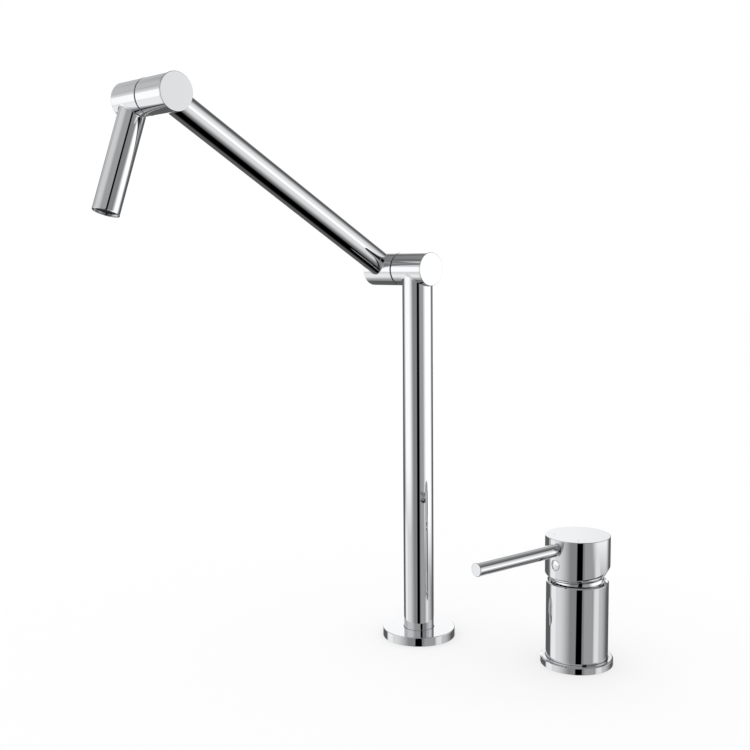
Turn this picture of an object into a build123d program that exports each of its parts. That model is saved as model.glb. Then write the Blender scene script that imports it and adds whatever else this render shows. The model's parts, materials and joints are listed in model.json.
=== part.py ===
from build123d import *
import os
from math import cos, radians, sin, sqrt, tan

# Deck-mount pot filler: a column that swivels on the deck, two folding elbows
# and a spout, with a separate single-lever mixer beside it. Millimetres, +Z up,
# z = 0 is the top of the deck and the column stands on the origin. The hinges
# of both elbows run along X, and the arm points to -Y.

os.makedirs("parts", exist_ok=True)

# Clearances shared by all pieces
running_gap = 0.05  # radial gap of a part that turns in another
journal_gap = 0.1  # radial gap of a bearing that a seal keeps tight
seat_gap = 0.05  # radial gap of a brazed, screwed or pressed joint
free_gap = 0.3  # between pieces that only pass each other
overrun = 1.0  # how far a cut runs past the face that it opens
edge_break = 0.3  # small chamfer on machined edges

# Tubes
column_d = 25.0
arm_d = 20.0
tube_wall = 1.5

# Pose in the photograph
hinge_height = 306.6  # lower hinge axis above the deck
arm_reach = 246.0  # from the lower hinge axis to the upper one
arm_rise = 30.0  # degrees above level
spout_reach = 85.2  # from the upper hinge axis to the spout's end
spout_drop = 71.0  # degrees below level

# Elbow barrels, along X
barrel_step = 1.0  # barrel's radius beyond the column's
seam_gap = 1.2
seam_chamfer = 0.4
lower_seam = 17.0  # column axis to the seam face of the housing
lower_cap_face = 15.5  # column axis to the closed face
arm_from_seam = 18.4  # lower seam to the arm's axis
lower_barrel_end = 3.8  # from the arm's side to the far end of its barrel
upper_seam = 17.5  # arm axis to the seam face of the upper housing
upper_cap_face = 13.3  # arm axis to the closed face
spout_from_seam = 19.5  # upper seam to the spout's axis
upper_barrel_end = 2.1  # from the spout's side to the far end of its barrel
neck_reach = 12.0  # how far a barrel's neck goes into its tube
neck_wall = 2.4

# Closing cap of an elbow
cap_disc = 1.0
cap_boss_step = 2.55  # barrel's radius to the boss's
cap_boss_length = 5.4
cap_boss_wall = 3.0
cap_seat = 1.0  # width of the ledge under the seal
cap_seal_thickness = 0.6

# Elbow bearing
bearing_step = 2.0  # water chamber's radius to the journal's
journal_length = 11.0
spindle_wall = 3.5
spindle_shoulder = 1.0  # journal's radius to the thread's
spindle_thread_length = 10.7
spindle_nose = 2.5  # spindle beyond the bearing, in the water chamber
seal_groove_width = 2.3
seal_groove_depth = 1.4
first_seal = 3.2  # seam to the middle of the first seal
seal_pitch = 4.0
wear_washer_inset = 1.2  # barrel's radius to the washer's
wear_washer_sink = 0.8
circlip_thickness = 1.0
circlip_depth = 0.8
circlip_rim = 1.5
circlip_gap_angle = 50.0

# Column foot and what fixes it to the deck
flange_d = 60.0
flange_height = 7.3
flange_ring_gap = 0.35  # between the flange's hole and the column
flange_rim = 3.7
gasket_thickness = 1.5
shoulder_inset = 10.0  # flange's edge to the shank's shoulder
shoulder_thickness = 3.0
bush_wall = 1.85
spigot_wall = 3.0
spigot_height = 62.0
spigot_nose = 4.0  # spigot above the bush
foot_seal_drop = 12.0  # top of the spigot to its upper seal
foot_seal_pitch = 12.0
foot_screw_height = 16.2
foot_screw_d = 4.0
foot_screw_sink = 0.2  # below the column's surface
foot_groove_depth = 1.2
thrust_washer_inset = 0.2  # column's radius to the washer's
thrust_washer_thickness = 1.0
column_shank_d = 26.4
shank_length = 58.0
inlet_d = 20.955
inlet_length = 13.0
deck_thickness = 20.0
rubber_washer_thickness = 3.0
steel_washer_thickness = 1.5
column_washer_d = 44.0
column_nut_across = 36.0
lock_nut_height = 8.0
thread_chamfer = 1.0

# Spout outlet
aerator_length = 13.0
aerator_recess = 1.2
aerator_wall = 1.2
aerator_gasket_thickness = 1.5
aerator_gasket_gap = 0.2  # spout's bore to the gasket
aerator_gasket_width = 2.3
screen_thickness = 0.5
screen_gap = 1.1
screen_pitch = 1.7
core_length = 6.0
cell_radius = 0.85
cell_pitch = 2.05
cell_count = 6  # cells along each side of the honeycomb

# Mixer, standing beside the column, with its lever turned from -Y
mixer_x = 131.3
mixer_y = 40.2
lever_turn = -7.0
body_floor = 20.0  # shank's socket to the cartridge's seat
body_rim_rise = 5.5  # ledge of the cartridge's nut to the body's rim
rim_chamfer = 0.8
rim_land = 0.2
rim_bevel = 1.3
dome_gap = 1.2  # dome to the body's mouth
ring_step = 4.0  # base ring's radius beyond the body's
ring_height = 5.8
ring_chamfer = 0.9
ring_gap = 0.45
ring_web = 1.0
ring_rim = 2.6
ring_web_gap = 2.0  # shank to the hole in the ring's web
mixer_shank_d = 32.0
mixer_shank_wall = 2.5
shank_socket = 11.5  # depth of the socket in the body's foot
mixer_washer_d = 48.0
mixer_nut_across = 42.0

# Ports under the mixer
port_count = 3
port_start = 90.0  # degrees: outlet at the back, hot and cold in front
port_circle = 15.6
port_d = 8.92
port_depth = 12.0
passage_d = 5.0

# Cartridge
cartridge_d = 35.0
cartridge_wall = 2.3
roof_thickness = 2.0  # over the turret's flange
neck_step = 2.7  # shell's radius to the neck's
neck_lip = 2.0
neck_lip_width = 3.0
base_thickness = 6.0
base_port_d = 6.4
port_seal_d = 9.8
port_seal_sink = 0.8
disc_thickness = 4.0
disc_side_gap = 1.2  # fixed disc to the shell
disc_margin = 3.0  # fixed disc's radius beyond the moving one's
recess_wall = 2.0  # round the mixing recess in the moving disc
recess_front = 0.9  # its straight edge, in front of the cartridge's axis
carrier_thickness = 5.0
turret_flange = 2.2
turret_lug_width = 8.0
turret_lug_thickness = 2.2
slot_room = 1.7  # turret to the spindle at the end of its swing
pin_d = 3.9
nut_wall = 2.5
nut_skirt = 7.0  # cartridge's shoulder to the nut's lower end
nut_roof = 2.5  # cartridge's shoulder to the nut's ledge
collar_wall = 3.6
collar_height = 5.0

# Lever pivot, spindle and dome
pivot_rise = 7.0  # cartridge's shoulder to the lever's pivot
lift_range = 15.0  # degrees
spindle_width = 8.0
spindle_drop = 5.5  # pivot to the foot of the spindle's square
spindle_tip = 6.0  # spindle above the clamping screw
stem_d = 3.6
ball_d = 5.6
ball_gap = 0.25  # ball to the moving disc
dome_wall = 2.05
dome_shoulder_angle = 18.0
dome_opening = 22.0
dome_rise = 8.4  # pivot to the edge of the dome's opening

# Handle
cap_step = 1.0  # cap's radius beyond the body's
cap_roof_rise = 12.0  # pivot to the roof of the cap's hollow
cap_lip_rise = 4.4  # pivot to the cap's lip
cap_lip_land = 0.57
cap_lip_shift = 0.7
cap_lip_slope = 2.0  # degrees, higher at the back
cap_cone_angle = 33.2  # degrees from the axis
cap_cone_lean = 6.0  # degrees, towards the lever
dome_clearance = 0.4
grub_rise = 5.0  # roof of the hollow to the clamping screw
grub_d = 5.0
grub_length = 8.0
lever_rise = 11.7  # clamping screw to the lever
lever_d = 10.0
lever_reach = 106.8
lever_neck_d = 7.6
lever_neck_length = 2.0
lever_thread_d = 6.0
lever_seat_step = 0.6  # neck's radius to that of its seat in the cap
lever_seat_sink = 0.4
lever_thread_start = 9.5
lever_chamfer = 0.4
cap_top_rise = 8.1  # lever to the cap's top
cover_d = 7.6
cover_depth = 4.0
cover_crown = 0.6
cover_hole_chamfer = 0.3
mark_d = 1.2
mark_depth = 0.3
mark_inset = 7.1  # from the cap's edge
mark_angle = 43.0

# Derived radii of the column, the elbows and the spout
column_r = column_d / 2
column_bore_r = column_r - tube_wall
arm_r = arm_d / 2
arm_bore_r = arm_r - tube_wall
barrel_r = column_r + barrel_step
cap_boss_r = barrel_r - cap_boss_step
chamber_r = cap_boss_r + seat_gap - cap_seat
journal_r = chamber_r - bearing_step
spindle_thread_r = journal_r - spindle_shoulder
spindle_bore_r = journal_r - spindle_wall
wear_washer_r = barrel_r - wear_washer_inset
spigot_r = column_bore_r - seat_gap - bush_wall - journal_gap

# Derived radii of the mixer, from the cartridge outwards
shell_r = cartridge_d / 2
shell_bore_r = shell_r - cartridge_wall
fixed_disc_r = shell_bore_r - disc_side_gap
moving_disc_r = fixed_disc_r - disc_margin
neck_r = shell_r - neck_step
neck_bore_r = neck_r - cartridge_wall
turret_r = neck_bore_r - journal_gap
nut_r = shell_r + nut_wall
collar_r = neck_r + collar_wall
dome_r = collar_r + seat_gap + dome_wall
mouth_r = dome_r + dome_gap
body_r = mouth_r + rim_bevel + rim_land + rim_chamfer
cap_r = body_r + cap_step

# Derived places
arm_x = -lower_seam - arm_from_seam
upper_seam_x = arm_x - upper_seam
spout_x = upper_seam_x - spout_from_seam
arm_dir = Vector(0, -cos(radians(arm_rise)), sin(radians(arm_rise)))
spout_dir = Vector(0, -cos(radians(spout_drop)), -sin(radians(spout_drop)))
lower_hinge = Vector(0, 0, hinge_height)
upper_hinge = lower_hinge + arm_dir * arm_reach
mixer = Plane(
    origin=(mixer_x, mixer_y, 0),
    x_dir=(cos(radians(lever_turn)), sin(radians(lever_turn)), 0),
    z_dir=(0, 0, 1),
)
deck = Plane.XY

# Derived heights of the mixer, from the deck upwards
web_top = gasket_thickness + ring_web
socket_top = web_top + shank_socket
cartridge_floor = socket_top + body_floor
base_low = cartridge_floor + port_seal_sink / 2
base_top = base_low + base_thickness
disc_low = base_top + disc_thickness + running_gap
carrier_low = disc_low + disc_thickness
turret_low = carrier_low + carrier_thickness + free_gap
roof_height = turret_low + turret_flange + running_gap
shoulder_height = roof_height + roof_thickness
pivot_height = shoulder_height + pivot_rise
nut_bottom = shoulder_height - nut_skirt
nut_step = shoulder_height + nut_roof
collar_top = nut_step + collar_height
body_top = nut_step + body_rim_rise
cap_lip_height = pivot_height + cap_lip_rise
grub_height = pivot_height + cap_roof_rise + grub_rise
spindle_top = grub_height + spindle_tip
lever_height = grub_height + lever_rise
mixer_height = lever_height + cap_top_rise

# The dome's shoulder is round about the pivot, and the cartridge's neck ends under it
shoulder = radians(dome_shoulder_angle)
shoulder_x, shoulder_z = dome_r * cos(shoulder), pivot_height + dome_r * sin(shoulder)
opening_z = pivot_height + dome_rise
dome_slope = (opening_z - shoulder_z) / (shoulder_x - dome_wall - dome_opening / 2)
neck_top = shoulder_z - dome_wall + dome_slope * (shoulder_x - dome_wall - neck_r) - free_gap


# Writes a finished piece under its name
def keep(piece, name):
    piece.part.label = name
    export_step(piece.part, f"parts/{name}.step")


# The plane of a turned profile: x is the radius and y runs along the axis
def profile_plane(plane):
    return Plane(origin=plane.origin, x_dir=plane.x_dir, z_dir=-plane.y_dir)


def axis_of(plane):
    return Axis(plane.origin, plane.z_dir)


# A solid of revolution from points (radius, height)
def turned(plane, points):
    with BuildPart() as piece:
        with BuildSketch(profile_plane(plane)):
            with BuildLine():
                Polyline(*points, close=True)
            make_face()
        revolve(axis=axis_of(plane))
    return piece


def ring(plane, outer_r, inner_r, height):
    with BuildPart() as piece:
        with BuildSketch(plane):
            Circle(outer_r)
            Circle(inner_r, mode=Mode.SUBTRACT)
        extrude(amount=height)
    return piece


# Seal rings of eight-sided section, one for each height on the plane's axis
def seal_rings(plane, middle_r, thickness, heights):
    with BuildPart() as piece:
        with BuildSketch(profile_plane(plane)):
            with Locations(*[(middle_r, height) for height in heights]):
                RegularPolygon(thickness / 2, 8, major_radius=False, rotation=22.5)
        revolve(axis=axis_of(plane))
    return piece


def lock_nut(plane, across, bore_r, height):
    with BuildPart() as piece:
        with BuildSketch(plane):
            RegularPolygon(across / 2, 6, major_radius=False)
            Circle(bore_r, mode=Mode.SUBTRACT)
        extrude(amount=height)
    return piece


# Planes of an elbow. Hinge planes look along +X with x towards the tube;
# tube planes look along the tube.
def hinge_plane(x, hinge, towards):
    return Plane(origin=(x, hinge.Y, hinge.Z), x_dir=towards, z_dir=(1, 0, 0))


def tube_plane(x, hinge, towards):
    return Plane(origin=(x, hinge.Y, hinge.Z), x_dir=(1, 0, 0), z_dir=towards)


# Housing of an elbow: barrel with a bearing at the seam, a water chamber, a
# threaded mouth under the closing cap, and a neck that plugs into its tube
def elbow_housing(seam_x, face_x, tube_x, hinge, towards, tube_bore_r):
    seam = hinge_plane(seam_x, hinge, towards)
    tube = tube_plane(tube_x, hinge, towards)
    length = face_x - seam_x - cap_disc
    mouth = length - cap_boss_length - cap_seal_thickness
    plug_r = tube_bore_r - seat_gap
    plug_bore_r = min(plug_r - neck_wall, tube_x - seam_x - journal_length - free_gap)
    with BuildPart() as piece:
        with BuildSketch(seam):
            Circle(barrel_r)
        extrude(amount=length)
        chamfer(piece.faces().sort_by(Axis.X)[0].edges(), seam_chamfer)
        with BuildSketch(tube):
            Circle(plug_r)
        extrude(amount=barrel_r + neck_reach)
        with BuildSketch(seam):
            Circle(journal_r + journal_gap)
        extrude(amount=journal_length, mode=Mode.SUBTRACT)
        with BuildSketch(seam.offset(journal_length)):
            Circle(chamber_r)
        extrude(amount=mouth - journal_length, mode=Mode.SUBTRACT)
        with BuildSketch(seam.offset(mouth)):
            Circle(cap_boss_r + seat_gap)
        extrude(amount=length - mouth + overrun, mode=Mode.SUBTRACT)
        with BuildSketch(tube):
            Circle(plug_bore_r)
        extrude(amount=barrel_r + neck_reach + overrun, mode=Mode.SUBTRACT)
    return piece


# Closing cap of a housing: a flush disc with a hollow threaded boss behind it
def elbow_cap(face_x, hinge):
    face = Plane(origin=(face_x, hinge.Y, hinge.Z), x_dir=(0, 1, 0), z_dir=(-1, 0, 0))
    boss_bore_r = cap_boss_r - cap_boss_wall
    return turned(face, [
        (0, 0),
        (barrel_r - edge_break, 0),
        (barrel_r, edge_break),
        (barrel_r, cap_disc),
        (cap_boss_r, cap_disc),
        (cap_boss_r, cap_disc + cap_boss_length),
        (boss_bore_r, cap_disc + cap_boss_length),
        (boss_bore_r, cap_disc + edge_break),
        (0, cap_disc + edge_break),
    ])


def elbow_cap_seal(face_x, hinge):
    back = face_x - cap_disc - cap_boss_length - cap_seal_thickness
    plane = Plane(origin=(back, hinge.Y, hinge.Z), x_dir=(0, 1, 0), z_dir=(1, 0, 0))
    return ring(plane, cap_boss_r, cap_boss_r - cap_boss_wall, cap_seal_thickness)


# Closed barrel on the other side of the seam, which carries the spindle
def elbow_barrel(seam_x, end_gap, tube_from_seam, hinge, towards, tube_r):
    face = hinge_plane(seam_x - seam_gap, hinge, towards)
    tube = tube_plane(seam_x - tube_from_seam, hinge, towards)
    sink = wear_washer_sink
    thread_end = sink + spindle_thread_length + free_gap
    plug_r = tube_r - tube_wall - seat_gap
    water_r = plug_r - neck_wall
    with BuildPart() as piece:
        with BuildSketch(face):
            Circle(barrel_r)
        extrude(amount=seam_gap - tube_from_seam - tube_r - end_gap)
        chamfer(piece.faces().sort_by(Axis.X)[0].edges(), edge_break)
        chamfer(piece.faces().sort_by(Axis.X)[-1].edges(), seam_chamfer)
        with BuildSketch(tube):
            Circle(plug_r)
        extrude(amount=barrel_r + neck_reach)
        with BuildSketch(face):
            Circle(wear_washer_r + seat_gap)
        extrude(amount=-sink, mode=Mode.SUBTRACT)
        with BuildSketch(face):
            Circle(spindle_thread_r + seat_gap)
        extrude(amount=-thread_end, mode=Mode.SUBTRACT)
        with BuildSketch(face.offset(-thread_end)):
            Circle(water_r)
        extrude(amount=thread_end - tube_from_seam - water_r / 2, mode=Mode.SUBTRACT)
        with BuildSketch(tube):
            Circle(water_r)
        extrude(amount=barrel_r + neck_reach + overrun, mode=Mode.SUBTRACT)
    return piece


# Hollow spindle: thread in the barrel, shoulder on its face, two seal grooves
# and a circlip groove just past the bearing
def elbow_spindle(seam_x, hinge):
    plane = Plane(
        origin=(seam_x - seam_gap - wear_washer_sink, hinge.Y, hinge.Z),
        x_dir=(0, 1, 0),
        z_dir=(1, 0, 0),
    )
    seam = seam_gap + wear_washer_sink
    seal_floor_r = journal_r - seal_groove_depth
    clip_start = seam + journal_length + journal_gap - seat_gap
    clip_end = clip_start + circlip_thickness + 2 * seat_gap
    points = [
        (spindle_bore_r, -spindle_thread_length),
        (spindle_thread_r - edge_break, -spindle_thread_length),
        (spindle_thread_r, edge_break - spindle_thread_length),
        (spindle_thread_r, 0),
        (journal_r, 0),
    ]
    for place in (first_seal, first_seal + seal_pitch):
        low = seam + place - seal_groove_width / 2
        high = low + seal_groove_width
        points += [(journal_r, low), (seal_floor_r, low), (seal_floor_r, high), (journal_r, high)]
    clip_floor_r = journal_r - circlip_depth
    points += [
        (journal_r, clip_start),
        (clip_floor_r, clip_start),
        (clip_floor_r, clip_end),
        (journal_r, clip_end),
        (journal_r, seam + journal_length + spindle_nose),
        (spindle_bore_r, seam + journal_length + spindle_nose),
    ]
    return turned(plane, points)


def elbow_seals(seam_x, hinge):
    plane = Plane(origin=(seam_x, hinge.Y, hinge.Z), x_dir=(0, 1, 0), z_dir=(1, 0, 0))
    inner_r = journal_r - seal_groove_depth + seat_gap
    outer_r = journal_r + journal_gap - running_gap
    places = (first_seal, first_seal + seal_pitch)
    return seal_rings(plane, (inner_r + outer_r) / 2, outer_r - inner_r, places)


# Wear washer, sunk in the barrel and just clear of the housing
def elbow_washer(seam_x, hinge):
    start = seam_x - seam_gap - wear_washer_sink
    plane = Plane(origin=(start, hinge.Y, hinge.Z), x_dir=(0, 1, 0), z_dir=(1, 0, 0))
    height = wear_washer_sink + seam_gap - running_gap
    return ring(plane, wear_washer_r, journal_r + seat_gap, height)


# Open retaining ring in the spindle's groove
def elbow_circlip(seam_x, hinge):
    start = seam_x + journal_length + journal_gap
    plane = Plane(origin=(start, hinge.Y, hinge.Z), x_dir=(0, 1, 0), z_dir=(1, 0, 0))
    inner_r = journal_r - circlip_depth + seat_gap
    outer_r = journal_r + circlip_rim
    wide = outer_r * tan(radians(circlip_gap_angle / 2))
    with BuildPart() as piece:
        with BuildSketch(plane):
            Circle(outer_r)
            Circle(inner_r, mode=Mode.SUBTRACT)
            with BuildLine():
                Polyline((0, 0), (outer_r, wide), (outer_r, -wide), close=True)
            make_face(mode=Mode.SUBTRACT)
        extrude(amount=circlip_thickness)
    return piece


# All pieces of one elbow, named after it
def make_elbow(name, seam_x, face_x, housing_x, housing_to, housing_bore_r,
               end_gap, from_seam, barrel_to, hinge, housing_name, barrel_name):
    keep(elbow_housing(seam_x, face_x, housing_x, hinge, housing_to, housing_bore_r), housing_name)
    keep(elbow_cap(face_x, hinge), f"{name}_cap")
    keep(elbow_cap_seal(face_x, hinge), f"{name}_cap_seal")
    keep(elbow_barrel(seam_x, end_gap, from_seam, hinge, barrel_to, arm_r), barrel_name)
    keep(elbow_spindle(seam_x, hinge), f"{name}_spindle")
    keep(elbow_seals(seam_x, hinge), f"{name}_o_rings")
    keep(elbow_washer(seam_x, hinge), f"{name}_wear_washer")
    keep(elbow_circlip(seam_x, hinge), f"{name}_circlip")


# Column foot: flange, gasket and the shank that holds the column to the deck
def make_foot():
    shoulder_top = gasket_thickness + shoulder_thickness
    flange_r = flange_d / 2
    pocket_r = flange_r - flange_rim
    shoulder_r = flange_r - shoulder_inset
    with BuildPart() as flange:
        with BuildSketch(deck):
            Circle(flange_r)
            Circle(column_r + flange_ring_gap, mode=Mode.SUBTRACT)
        extrude(amount=flange_height)
        chamfer(flange.faces().sort_by(Axis.Z)[-1].edges(), edge_break)
        with BuildSketch(deck):
            Circle(pocket_r)
        extrude(amount=gasket_thickness, mode=Mode.SUBTRACT)
        with BuildSketch(deck):
            Circle(shoulder_r + free_gap)
        extrude(amount=shoulder_top, mode=Mode.SUBTRACT)
    keep(flange, "deck_flange")

    shank_r = column_shank_d / 2
    keep(ring(deck, pocket_r - free_gap, shank_r + free_gap, gasket_thickness), "flange_gasket")

    bore_r = spigot_r - spigot_wall
    inlet_r = inlet_d / 2
    inlet_end = -shank_length - inlet_length
    groove_r = spigot_r - foot_groove_depth
    groove_half = foot_screw_d / 2 + free_gap
    seal_r = spigot_r - seal_groove_depth
    upper_seal = spigot_height - foot_seal_drop
    seal_heights = (upper_seal - foot_seal_pitch, upper_seal)
    points = [
        (bore_r, inlet_end),
        (inlet_r - thread_chamfer, inlet_end),
        (inlet_r, inlet_end + thread_chamfer),
        (inlet_r, -shank_length),
        (shank_r - thread_chamfer, -shank_length),
        (shank_r, thread_chamfer - shank_length),
        (shank_r, gasket_thickness),
        (shoulder_r, gasket_thickness),
        (shoulder_r, shoulder_top),
        (spigot_r, shoulder_top),
        (spigot_r, foot_screw_height - groove_half),
        (groove_r, foot_screw_height - groove_half),
        (groove_r, foot_screw_height + groove_half),
        (spigot_r, foot_screw_height + groove_half),
    ]
    for height in seal_heights:
        low = height - seal_groove_width / 2
        high = low + seal_groove_width
        points += [(spigot_r, low), (seal_r, low), (seal_r, high), (spigot_r, high)]
    points += [
        (spigot_r, spigot_height - edge_break),
        (spigot_r - edge_break, spigot_height),
        (bore_r, spigot_height),
    ]
    keep(turned(deck, points), "base_shank")

    inner_r = seal_r + seat_gap
    outer_r = spigot_r + journal_gap - running_gap
    seals = seal_rings(deck, (inner_r + outer_r) / 2, outer_r - inner_r, seal_heights)
    keep(seals, "base_o_rings")

    washer = deck.offset(shoulder_top)
    bearing_r = spigot_r + journal_gap
    washer_r = column_r - thrust_washer_inset
    keep(ring(washer, washer_r, bearing_r, thrust_washer_thickness), "thrust_washer")

    below = Plane(origin=(0, 0, -deck_thickness), x_dir=(1, 0, 0), z_dir=(0, 0, -1))
    make_fixings(below, "shank", column_washer_d / 2, shank_r, column_nut_across)


# Washers and lock nut that clamp a shank from below the deck
def make_fixings(below, name, washer_r, shank_r, across):
    bore_r = shank_r + free_gap
    keep(ring(below, washer_r, bore_r, rubber_washer_thickness), f"{name}_rubber_washer")
    steel = below.offset(rubber_washer_thickness)
    keep(ring(steel, washer_r, bore_r, steel_washer_thickness), f"{name}_steel_washer")
    nut = steel.offset(steel_washer_thickness)
    keep(lock_nut(nut, across, shank_r + seat_gap, lock_nut_height), f"{name}_lock_nut")


# Column: tube with a saddle at the barrel, bush and keeper screw at its foot
def make_column():
    foot = gasket_thickness + shoulder_thickness + thrust_washer_thickness + running_gap
    bush_r = column_bore_r - seat_gap
    screw_side = Plane(origin=(0, 0, foot_screw_height), x_dir=(1, 0, 0), z_dir=(0, 1, 0))
    screw_hole_r = foot_screw_d / 2 + seat_gap
    with BuildPart() as tube:
        with BuildSketch(deck.offset(foot)):
            Circle(column_r)
            Circle(column_bore_r, mode=Mode.SUBTRACT)
        extrude(amount=hinge_height - foot)
        with BuildSketch(hinge_plane(0, lower_hinge, Vector(0, 0, -1))):
            Circle(barrel_r + seat_gap)
        extrude(amount=column_r + overrun, both=True, mode=Mode.SUBTRACT)
        with BuildSketch(screw_side):
            Circle(screw_hole_r)
        extrude(amount=column_r + overrun, mode=Mode.SUBTRACT)
    keep(tube, "column_tube")

    with BuildPart() as bush:
        with BuildSketch(deck.offset(foot)):
            Circle(bush_r)
            Circle(spigot_r + journal_gap, mode=Mode.SUBTRACT)
        extrude(amount=spigot_height - spigot_nose - foot)
        with BuildSketch(screw_side):
            Circle(screw_hole_r)
        extrude(amount=column_r, mode=Mode.SUBTRACT)
    keep(bush, "column_bush")

    tip = spigot_r - foot_groove_depth + free_gap
    screw_length = column_r - foot_screw_sink - tip
    with BuildPart() as screw:
        with BuildSketch(screw_side.offset(tip)):
            Circle(foot_screw_d / 2)
        extrude(amount=screw_length)
        with BuildSketch(screw_side.offset(tip + screw_length)):
            RegularPolygon(foot_screw_d / 4, 6, major_radius=False)
        extrude(amount=-screw_length / 2, mode=Mode.SUBTRACT)
    keep(screw, "column_keeper_screw")


# A tube between two hinge axes, coped to fit the barrels it meets
def coped_tube(x, start, towards, length, ends):
    with BuildPart() as tube:
        with BuildSketch(tube_plane(x, start, towards)):
            Circle(arm_r)
            Circle(arm_bore_r, mode=Mode.SUBTRACT)
        extrude(amount=length)
        for end in ends:
            with BuildSketch(hinge_plane(x, end, towards)):
                Circle(barrel_r + seat_gap)
            extrude(amount=arm_r + overrun, both=True, mode=Mode.SUBTRACT)
    return tube


# Spout outlet: aerator shell with its gasket, screen and honeycomb core
def make_outlet():
    end = Plane(origin=tube_plane(spout_x, upper_hinge, spout_dir).origin + spout_dir * spout_reach,
                x_dir=(1, 0, 0), z_dir=-spout_dir)
    shell_r = arm_bore_r - seat_gap
    inside_r = shell_r - aerator_wall
    fill_r = inside_r - seat_gap
    face = end.offset(aerator_recess)
    keep(ring(face, shell_r, inside_r, aerator_length), "aerator_shell")
    top = face.offset(aerator_length)
    gasket_r = arm_bore_r - aerator_gasket_gap
    gasket = ring(top, gasket_r, gasket_r - aerator_gasket_width, aerator_gasket_thickness)
    keep(gasket, "aerator_gasket")

    with BuildPart() as core:
        with BuildSketch(face):
            Circle(fill_r)
            with HexLocations(cell_pitch / 2, cell_count, cell_count):
                RegularPolygon(cell_radius, 6, major_radius=True, mode=Mode.SUBTRACT)
        extrude(amount=core_length)
    keep(core, "aerator_core")

    half = int(fill_r / screen_pitch * sqrt(0.5) - screen_gap / screen_pitch)
    count = 2 * half + 1
    with BuildPart() as screen:
        with BuildSketch(face.offset(core_length)):
            Circle(fill_r)
            with GridLocations(screen_pitch, screen_pitch, count, count):
                Rectangle(screen_gap, screen_gap, mode=Mode.SUBTRACT)
        extrude(amount=screen_thickness)
    keep(screen, "aerator_screen")


# Disc with the three waterways of the mixer
def ported_disc(bottom, radius, height, hole_r):
    with BuildPart() as piece:
        with BuildSketch(mixer.offset(bottom)):
            Circle(radius)
            with PolarLocations(port_circle / 2, port_count, port_start):
                Circle(hole_r, mode=Mode.SUBTRACT)
        extrude(amount=height)
    return piece


# Mixer body on its base ring, with the port block and the hollow shank below
def make_mixer_body():
    ring_r = body_r + ring_step
    ring_bore_r = body_r + ring_gap
    pocket_r = ring_r - ring_rim
    shank_r = mixer_shank_d / 2
    web_r = shank_r + ring_web_gap
    base_ring = turned(mixer, [
        (pocket_r, 0),
        (ring_r, 0),
        (ring_r, ring_height - ring_chamfer),
        (ring_r - ring_chamfer, ring_height),
        (ring_bore_r, ring_height),
        (ring_bore_r, web_top),
        (web_r, web_top),
        (web_r, gasket_thickness),
        (pocket_r, gasket_thickness),
    ])
    keep(base_ring, "mixer_base_ring")
    keep(ring(mixer, pocket_r - free_gap, web_r, gasket_thickness), "mixer_gasket")

    rim_r = body_r - rim_chamfer
    bevel_r = rim_r - rim_land
    socket_r = shank_r + seat_gap
    cartridge_r = shell_r + seat_gap
    body = turned(mixer, [
        (socket_r, web_top),
        (body_r, web_top),
        (body_r, body_top - rim_chamfer),
        (rim_r, body_top),
        (bevel_r, body_top),
        (mouth_r, body_top - rim_bevel),
        (mouth_r, nut_step),
        (nut_r, nut_step),
        (nut_r, nut_bottom - free_gap),
        (cartridge_r, nut_bottom - free_gap),
        (cartridge_r, socket_top),
        (socket_r, socket_top),
    ])
    keep(body, "mixer_body")
    block_r = cartridge_r - seat_gap
    keep(ported_disc(socket_top, block_r, port_depth, port_d / 2), "hose_port_block")
    seat_floor = socket_top + port_depth
    keep(ported_disc(seat_floor, block_r, body_floor - port_depth, passage_d / 2), "cartridge_seat")

    shank = mixer.offset(-shank_length)
    bore_r = shank_r - mixer_shank_wall
    keep(ring(shank, shank_r, bore_r, shank_length + socket_top), "mixer_shank")
    below = Plane(
        origin=(mixer_x, mixer_y, -deck_thickness), x_dir=mixer.x_dir, z_dir=(0, 0, -1)
    )
    make_fixings(below, "mixer", mixer_washer_d / 2, shank_r, mixer_nut_across)


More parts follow.
